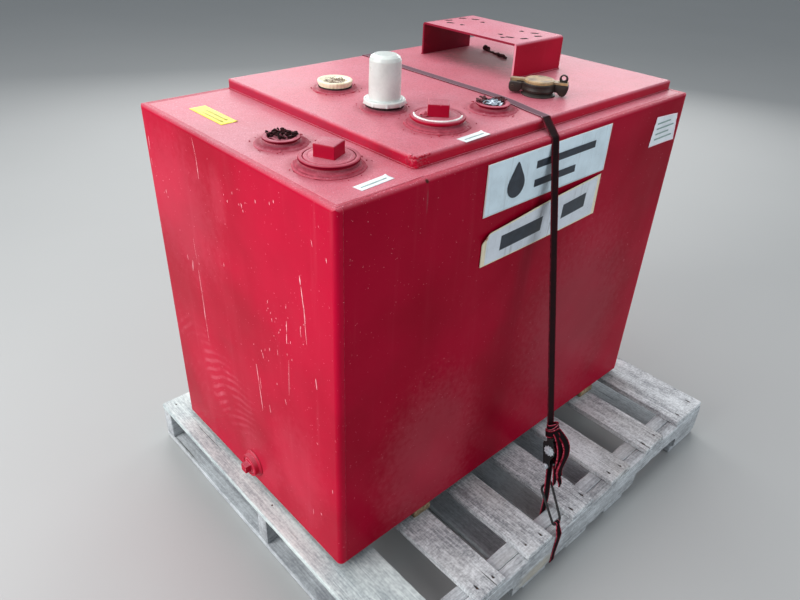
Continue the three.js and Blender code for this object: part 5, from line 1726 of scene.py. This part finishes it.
# The lower sign bows away from the wall between its ends, and its upper left corner curls over.
def makeLowerSign():
    s = signSettings
    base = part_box("sign_lower")[0].y
    left, bottom = s["lowerCorners"][0]
    top = s["lowerCorners"][3][1]

    def bow(u, v):
        return s["lift"] + s["bow"] * np.sin(math.pi * np.clip(u, 0, 1)) ** 0.8 * (0.25 + 0.75 * v)

    def curl(points):
        share = np.clip((points[..., 0] - left) / s["lowerWide"], 0, 1)
        upperHalf = np.clip((points[..., 2] - 0.80) / 0.05, 0, 1)
        points = points.copy()
        points[..., 2] += s["arch"] * np.sin(math.pi * share) * upperHalf
        fold = (-(points[..., 0] - left) + (points[..., 2] - top)) / math.sqrt(2) + s["curlFrom"]
        over = np.maximum(fold, 0)
        turn = over / s["curlRadius"]
        back = over - s["curlRadius"] * np.sin(turn)
        points[..., 0] += back / math.sqrt(2)
        points[..., 2] -= back / math.sqrt(2)
        points[..., 1] -= s["curlRadius"] * (1 - np.cos(turn))
        return points

    def onFace(x, z):
        share = np.clip((x - left) / s["lowerWide"], 0, 1)
        height = 0.070 + 0.028 * share + s["arch"] * np.sin(math.pi * share)
        v = np.clip((z - (bottom + 0.006 * share)) / height, 0, 1)
        return base - bow(share, v) - 0.0011

    corners = [(x, base, z) for x, z in s["lowerCorners"]]
    sheet = sheetPiece(
        "sign_lower_sheet", corners, (0, -1, 0), bow, s["lowerThick"], lowerFace, (120, 48), curl,
    )
    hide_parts("sign_lower")
    outlines = []
    for x0, x1, z0, z1 in ((-0.150, -0.020, 0.788, 0.822), (0.052, 0.140, 0.800, 0.834)):
        edges = np.linspace(x0, x1, 11)
        for a, b in zip(edges[:-1], edges[1:]):
            rise = s["barSlope"] * (a - x0)
            outlines.append(barOutline(a, b, z0 + rise, z1 + rise, s["barSlope"]))
    printedBars("sign_lower_bars", outlines, onFace, signMark)


# Label on a flat top: centre, size along its own directions, turn in degrees, height it lies at.
def makeLabel(name, x, y, width, depth, turn, height, paper, inkRows, ink):
    ahead, aside = atHeight(turnedBy(turn), 0)
    centre = np.array([x, y, height + 0.0002])
    shares = (-1, -1), (1, -1), (1, 1), (-1, 1)
    corners = [centre + a * ahead * width / 2 + b * aside * depth / 2 for a, b in shares]

    def lifted(u, v):
        corner = np.clip(u - 0.93, 0, 1) * 14 * np.clip(v - 0.7, 0, 1) * 3.3
        return 0.0002 + 0.0016 * corner + 0.0001 * waves(u * 3, 7, 1, 3)

    def justAbove(u, v):
        return 0.0006 + 0 * u * v

    sheetPiece(name, corners, (0, 0, 1), lifted, 0.0003, paper, (24, 12))
    bars = []
    for row, (start, end) in enumerate(inkRows):
        v = (row + 1) / (len(inkRows) + 1) - 0.5
        a, b = (centre + ahead * width * (share - 0.5) + aside * depth * (v - 0.10) for share in (start, end))
        rise = aside * depth * 0.14
        bars.append(sheetPiece("bar", [a, b, b + rise, a + rise], (0, 0, 1), justAbove, 0.0001, ink, (6, 2)))
    joined(bars, name + "_bars")


stickerSettings = {
    "corners": [(0.392, 0.886), (0.509, 0.884), (0.499, 0.953), (0.403, 0.959)],
    "off": 0.0012,
    "bars": [(0.412, 0.492, 0.900), (0.412, 0.472, 0.913), (0.412, 0.492, 0.926), (0.412, 0.472, 0.939)],
    "barHigh": 0.0035,
}


def makeSticker():
    s = stickerSettings
    y = wallLow.y - s["off"]

    def curled(u, v):
        return 0.0015 * np.clip(u - 0.8, 0, 1) * 5 + 0.0006 * waves(v * 2, 5, 1, 3) + 0 * u

    corners = [(x, y, z) for x, z in s["corners"]]
    sheetPiece("wall_sticker", corners, (0, -1, 0), curled, 0.0003, paperFace, (30, 20))
    outlines = [barOutline(x0, x1, z, z + s["barHigh"]) for x0, x1, z in s["bars"]]
    printedBars("sticker_bars", outlines, y - s["off"], labelInk)


deck, pan = wallHigh.z, panHigh.z
yellowRows = [(0.30, 0.90), (0.22, 0.86)]
makeUpperSign()
makeLowerSign()
makeLabel("label_deck_front", -0.447, -0.209, 0.078, 0.022, 5, deck, labelWhite, [(0.10, 0.88)], labelInk)
makeLabel("label_deck_back", -0.480, 0.260, 0.132, 0.038, -90, deck, labelYellow, yellowRows, oliveInk)
makeLabel("label_pan", -0.189, -0.196, 0.072, 0.024, 3, pan, labelWhite, [(0.12, 0.90)], labelInk)
makeSticker()
print("signs made")

# The tie-down strap. Directions and places repeat the part's own.

strapSettings = {
    "width": 25.0,
    "thick": 1.6,
    "line": (-72.0, -212.0, -912.0),
    "ratchetHeight": 316.0,
    "spool": (11.0, 15.0),
    "backAt": (86.0, 509.3),
    "rearAngles": (6.1, 12.2),
    "rearX": 60.0,
    "hookBar": (86.0, 513.6, 52.0),
    "hookEye": (-99.0, -496.0, 133.0),
    "hookTop": (-66.5, -428.4, 186.0),
    "overTop": [
        (57.5, 340), (55, 276), (53.5, 180), (52.5, 90), (52, 0), (50.5, -45), (46, -87), (37.5, -125),
        (30, -160),
    ],
    "boltAt": (0, 62),
    "gripAt": (12, -10),
    "boltEnd": [(15.6, 7.0), (19.8, 7.0), (20.64, 6.0), (21.2, 3.6)],
    "hub": [(20.6, 10.4), (21.0, 10.0), (21.1, 8.2), (22.6, 8.0), (22.7, 5.4), (23.9, 5.0), (24.0, 2.6)],
}
lineDirection = unit(np.array(strapSettings["line"]))
acrossDirection = unit(np.array([1.0, 0, 0]) - lineDirection * lineDirection[0])
outDirection = np.cross(lineDirection, acrossDirection)


# Points round an edge that runs along X: y + r cos a, z + r sin a.
def roundEdge(y, z, reach, start, end, x0, x1, steps=9):
    angle = np.radians(np.linspace(start, end, steps))
    x = np.linspace(x0, x1, steps)
    return np.column_stack([x, *polar(reach, angle)]) + (0, y, z)


frontAngle = math.degrees(math.atan2(outDirection[2], outDirection[1]))
leaving = roundEdge(-247, 987, 9.3, frontAngle, frontAngle, -8, -8, 2)[0]
ratchetAt = leaving + lineDirection * (strapSettings["ratchetHeight"] - leaving[2]) / lineDirection[2]


def ratchetPoints(points):
    points = np.atleast_2d(np.asarray(points, float))
    return ratchetAt + points @ np.stack([acrossDirection, outDirection, lineDirection])


# Flat band: a section with rounded borders across each station, with stations at most a step apart. Extra
# columns are the direction across, the width, the thickness and 1 where the section keeps that direction.
def band(name, path, extra, step=6.0, seed=1, sag=0.0):
    values = np.column_stack([path, extra])
    values = np.concatenate([subdivided(values[:-1], values[1:], step), values[-1:]])
    path, wide, width, thick, sheared = np.split(values, (3, 6, 7, 8), 1)
    along = unit(np.gradient(path, axis=0))
    wide = unit(wide)
    lean = np.where(sheared > 0.5, 0.0, (wide * along).sum(1, keepdims=True))
    side = unit(wide - along * lean)
    face = unit(np.cross(side, along))
    turn = np.linspace(-math.pi / 2, math.pi / 2, 5)
    flat = np.linspace(-1, 1, 9)[1:-1]
    a = np.concatenate([1 + 0 * turn, -flat, -1 + 0 * turn, flat])
    b = np.concatenate([np.sin(turn), 1 + 0 * flat, -np.sin(turn), -1 + 0 * flat])
    soft = np.concatenate([np.cos(turn) - 1, 0 * flat, 1 - np.cos(turn), 0 * flat])
    reach = np.cumsum(np.linalg.norm(np.diff(path, axis=0, prepend=path[:1]), axis=1))[:, None]
    fray = 0.12 * waves(reach[:, 0] / 1000, seed, 20.0, 150.0)[:, None]
    across = a * (width / 2 - 0.15 + fray) + soft * thick * 0.5
    out = b * thick / 2 + sag * (a ** 2 - 0.5)
    rings = path[:, None] + side[:, None] * across[..., None] + face[:, None] * out[..., None]
    flow = np.stack(np.broadcast_arrays(reach * mm, a, b), -1)
    return ringSurface(name, np.concatenate([rings * mm, flow], -1), sharp=60)


def plainExtra(count, width=strapSettings["width"], thick=strapSettings["thick"], sheared=0.0):
    return np.tile((1.0, 0.0, 0.0, width, thick, sheared), (count, 1))


# Webbing wound round a bar along X at a place: radius grows from inner to outer over the turns.
def woundBand(inner, outer, turns, width, start, place, onRatchet=False):
    angle = np.linspace(0, turns * 2 * math.pi, int(turns * 28)) + start
    radius = np.linspace(inner, outer, len(angle))
    points = np.column_stack([0 * angle, *polar(radius, angle)]) + place
    extra = plainExtra(len(points), width, 1.2)
    if onRatchet:
        points = ratchetPoints(points)
        extra[:, :3] = acrossDirection
    return band("wound", points, extra, 5.0)


# Long strap: up the back, over the tank's rear edge and the pan, down the front to the ratchet.
def makeLongStrap():
    s = strapSettings
    x, y = s["backAt"]
    up = np.array([(x, y, 52), (x, y, 105), (85, y - 0.6, 121)], float)
    rear = roundEdge(418, 991, 5.3, *s["rearAngles"], s["rearX"], s["rearX"], 4)
    overPan = roundEdge(410, 1009, 9.3, s["rearAngles"][1], 90, s["rearX"], s["rearX"])
    flat = atHeight(np.array(s["overTop"]), 1018.3)
    slope = math.degrees(math.atan2(22, 46.5))
    panFront = roundEdge(-200.5, 1009, 9.3, 90, 90 + slope, 23, 21)
    tankFront = roundEdge(-247, 987, 9.3, 90 + slope, frontAngle, -6, -8)
    down = ratchetPoints([(0, 0, 0), (0, 0, s["spool"][1])])
    path = np.concatenate([up, rear, overPan, flat, panFront, tankFront, down])
    extra = plainExtra(len(path))
    first = len(up) + len(rear) + len(overPan)
    along = np.gradient(flat[:, :2], axis=0)
    extra[first:first + len(flat), :3] = np.column_stack([-along[:, 1], along[:, 0], 0 * along[:, 0]])
    main = band("strap_long", path, extra, 6.0, 3)
    roll = woundBand(9.0, 11.4, 2.0, 24.6, 2.4, (0, *s["spool"]), True)
    eye = woundBand(4.3, 4.4, 1.0, 24.6, math.pi, s["hookBar"])
    piece = joined([main, roll, eye], "strap_long")
    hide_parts("strap_web")
    dressed(piece, strapCloth)


# Short strap: bolt, down behind the front stringer, under it, up outside and over to its hook.
def makeShortStrap():
    inner, outer = -439.7, -511.3
    start = ratchetPoints([(0, 0, 67.3)])
    edges = [
        roundEdge(-441, 16, 1.3, 0, -90, -77, -77),
        roundEdge(-510, 16, 1.3, -90, -180, -111, -111),
        roundEdge(-510, 105, 1.3, 180, 125, -104, -104),
    ]
    stretches = [
        (start, 25, 0), ([(-71.5, inner + 0.4, 150)], 25, 0), ([(-73, inner, 105)], 25, 1),
        ([(-76, inner, 30)], 25, 1), (edges[0], 23, 1), (edges[1], 17, 1), ([(-111, outer, 40)], 16, 1),
        ([(-107, outer, 80)], 22, 1), (edges[2], 22, 1), ([(-99, -499.2, 130)], 13, 0),
    ]
    path = np.concatenate([stretch[0] for stretch in stretches])
    extra = np.concatenate([plainExtra(len(points), wide, sheared=lean) for points, wide, lean in stretches])
    main = band("strap_short", path, extra, 5.0, 7)
    bolt = woundBand(5.3, 5.4, 1.0, 24.6, math.pi / 2, (0, *strapSettings["boltAt"]), True)
    eye = woundBand(4.3, 4.4, 1.0, 13.0, -math.pi / 2, strapSettings["hookEye"])
    piece = joined([main, bolt, eye], "strap_short")
    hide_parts("strap_tail")
    dressed(piece, tailCloth)


# The loose end's folded lengths as (x, y, z, width) in mm.
outerFold = [
    (6, 13, -30, 22), (10, 23, -18, 22), (14, 31.5, -4, 22), (17, 34.5, 14, 22), (17, 32.5, 34, 22),
    (15, 26, 54, 21), (14, 19, 74, 18), (17, 13, 92, 17), (23, 11, 110, 16), (29, 12, 126, 14),
    (26, 12, 140, 9),
]
innerFold = [
    (-2, 13, -30, 20), (-2, 21, -22, 20), (0, 25.5, -8, 22), (2, 27, 10, 22), (3, 26, 30, 20),
    (4, 21, 52, 18), (6, 16, 72, 15),
]
flapFold = [(9, 9, 66, 20), (8, 10, 80, 23), (8, 10, 98, 22), (9, 9, 112, 19), (10, 8, 124, 11)]
# Each length: its fold, the layers as (lift, sway, stations) and a seed.
looseFolds = [
    (outerFold, [(-1.9, 0.0, 90), (0.1, 1.8, 84), (2.3, -1.6, 70)], 31),
    (innerFold, [(-1.0, 0.0, 90), (1.0, -1.4, 76)], 51),
    (flapFold, [(0.0, 1.2, 90)], 71),
]
# Turns round the strap: half width, half depth, height and tilt.
looseTurns = [(17.5, 6.5, -39, 0.10), (18.5, 8.5, -33, -0.06), (20.0, 10.5, -27, 0.05)]


# Evenly spread points along a path, each averaged with its neighbours under a Hann window.
def softenedPath(points, count, window=13):
    t = np.linspace(0, 1, len(points))
    fine = np.linspace(0, 1, count)
    even = np.column_stack([np.interp(fine, t, column) for column in points.T])
    kernel = np.hanning(window)
    kernel /= kernel.sum()
    padded = np.pad(even, ((window // 2, window // 2), (0, 0)), "edge")
    return np.column_stack([np.convolve(column, kernel, "valid") for column in padded.T])


# Loose end: turns of webbing round the strap, then folded layers that fall over the ratchet.
def makeLooseEnd():
    parts = []
    angle = np.linspace(0, 2 * math.pi, 60)
    power = 0.75
    for number, (half, deep, middle, tilt) in enumerate(looseTurns):
        x = half * np.sign(np.cos(angle)) * np.abs(np.cos(angle)) ** power
        y = 6 + deep * np.sign(np.sin(angle)) * np.abs(np.sin(angle)) ** power
        path = ratchetPoints(np.column_stack([x, y, middle + tilt * x * 2.0]))
        extra = plainExtra(len(path), 19.0, 1.3, 1.0)
        extra[:, :3] = lineDirection + acrossDirection * tilt
        parts.append(band("turn", path, extra, 4.0, 20 + number))
    share = np.linspace(0, 1, 90)
    for fold, layers, seed in looseFolds:
        smooth = softenedPath(np.array(fold, float), 90)
        for number, (shift, sway, trim) in enumerate(layers):
            lifted = smooth[:trim, :3].copy()
            lifted[:, 1] += shift + 0.5 * waves(share[:trim], seed + number, 1.0, 3.0)
            lifted[:, 0] += sway * np.sin(share[:trim] * 5)
            extra = plainExtra(trim, 22.0, 1.3)
            extra[:, :3] = acrossDirection + outDirection * 0.10 * number
            extra[:, 3] = smooth[:trim, 3] * 0.94
            parts.append(band("layer", ratchetPoints(lifted), extra, 4.0, seed + 9 + number, 0.5))
    piece = joined(parts, "strap_loose_layers")
    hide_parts("strap_loose_end")
    dressed(piece, tailCloth)


# Round rods across the ratchet at one (y, z), each as rows of (place along it, radius).
def ratchetRods(name, rods, place, sides, finish):
    pieces = []
    for rod in rods:
        x, radius = np.array(rod, float).T
        points = ratchetPoints(np.column_stack([x, np.full((len(x), 2), place)])) * mm
        pieces.append(tubePiece("rod", points, radius * mm, sides, guide=(0.1, 0.9, 0.2)))
    dressed(joined(pieces, name), finish)


def bothEnds(rows):
    return [[(sign * x, radius) for x, radius in rows] for sign in (-1, 1)]


# Ratchet: frame, spool and handle with soft edges, bright bolt ends and a ribbed grip.
def makeRatchet():
    s = strapSettings
    dressed(softened("ratchet_frame", 0.0005, 2, 30), blackSteel)
    dressed(softened("ratchet_spool", 0.0004, 2, 30), zincSteel)
    dressed(softened("ratchet_handle", 0.0005, 2, 30), blackSteel)
    ratchetRods("ratchet_bolt_ends", bothEnds(s["boltEnd"]), s["boltAt"], 20, zincSteel)
    ratchetRods("ratchet_hubs", bothEnds(s["hub"]), s["spool"], 6, zincSteel)
    t = np.linspace(0, 1, 5)
    ribs = [np.column_stack([x - 0.8 + 1.6 * t, 4.5 + 0.7 * np.sin(t * math.pi)]) for x in range(-16, 20, 4)]
    ratchetRods("ratchet_grip_ribs", ribs, s["gripAt"], 20, blackSteel)


# Wire hooks along the same corners as the part's.
def makeHooks():
    x, y, z = strapSettings["hookBar"]
    half, low, inside, outside = 17, 12.6, 466.4, 511.6
    left = [(x - half, inside, 40), (x - half, inside, low), (x - half, outside, low), (x - half, y, z)]
    right = [(x + half, *corner[1:]) for corner in left[::-1]]
    path = eased(left + right, 5.0, 9, False) * mm
    back = tubePiece("strap_hook_back_wire", path, 0.003, 18, guide=(0.43, 0.31, 0.85))
    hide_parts("strap_hook_back")
    dressed(back, blackSteel)
    (xa, ya, za), (xb, yb, zb) = strapSettings["hookEye"], strapSettings["hookTop"]
    corners = [(xa - 14, ya, za), (xa + 14, ya, za), (xb + 19, yb, zb), (xb - 19, yb, zb)]
    path = eased(corners, 9.0, 9) * mm
    front = tubePiece("strap_hook_front_wire", path, 0.003, 18, loop=True, guide=(0.0, 0.62, -0.79))
    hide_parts("strap_hook_front")
    dressed(front, hookSteel)


makeLongStrap()
makeShortStrap()
makeLooseEnd()
makeRatchet()
makeHooks()
print("strap made")

# Floor and light

stageSettings = {
    "floorSize": 24.0,
    "floorDrop": 0.0008,
    "floorColour": shade(172, 173, 172),
    "sky": (0.84, 0.92, 1.0, 1.0),
    "skyStrength": 0.40,
}


def makeStage():
    s = stageSettings
    size = s["floorSize"] / 2
    flat = np.array([(-size, -size), (size, -size), (size, size), (-size, size)])
    floor = meshPiece("studio_floor", atHeight(flat, -s["floorDrop"]), [[0, 1, 2, 3]])
    material, place = newMaterial("floor_paint")
    soft = noise(place, 1.2, 3.0, 0.5)
    colour = tint(soft, s["floorColour"], dimmed(s["floorColour"], 0.94))
    feed(material.node_tree.nodes["Principled BSDF"], {"Base Color": colour, "Roughness": 0.75})
    floor.data.materials.append(material)
    world = bpy.data.worlds.new("soft_sky")
    world.use_nodes = True
    sky = {"Color": s["sky"], "Strength": s["skyStrength"]}
    feed(world.node_tree.nodes["Background"], sky)
    bpy.context.scene.world = world


# Place, aim, size, power and tone of each lamp.
white, bluish = (1.0, 1.0, 1.0), (0.90, 0.95, 1.0)
lamps = {
    "end_softbox": ((-3.6, 0.9, 2.2), (-0.3, 0.1, 0.5), 2.6, 150, white),
    "top_softbox": ((0.2, 1.1, 4.4), (0.0, 0.1, 0.8), 3.6, 102, white),
    "back_left_softbox": ((1.2, 3.6, 2.2), (-0.3, 0.1, 1.0), 2.0, 46, white),
    "back_right_softbox": ((3.8, 1.6, 2.0), (0.3, 0.1, 1.0), 2.0, 46, white),
    "front_fill": ((1.2, -4.2, 1.8), (0.0, 0.0, 0.5), 3.0, 48, bluish),
}


def makeLamps():
    for name, (place, aim, size, power, tone) in lamps.items():
        light = bpy.data.lights.new(name, "AREA")
        light.energy = power
        light.size = size
        light.shape = "SQUARE"
        light.color = tone
        body = bpy.data.objects.new(name, light)
        bpy.context.scene.collection.objects.link(body)
        turn = (Vector(aim) - Vector(place)).to_track_quat("-Z", "Y").to_matrix().to_4x4()
        body.matrix_world = Matrix.Translation(place) @ turn


makeStage()
makeLamps()
bpy.context.scene.view_settings.view_transform = "Standard"
print("stage made")
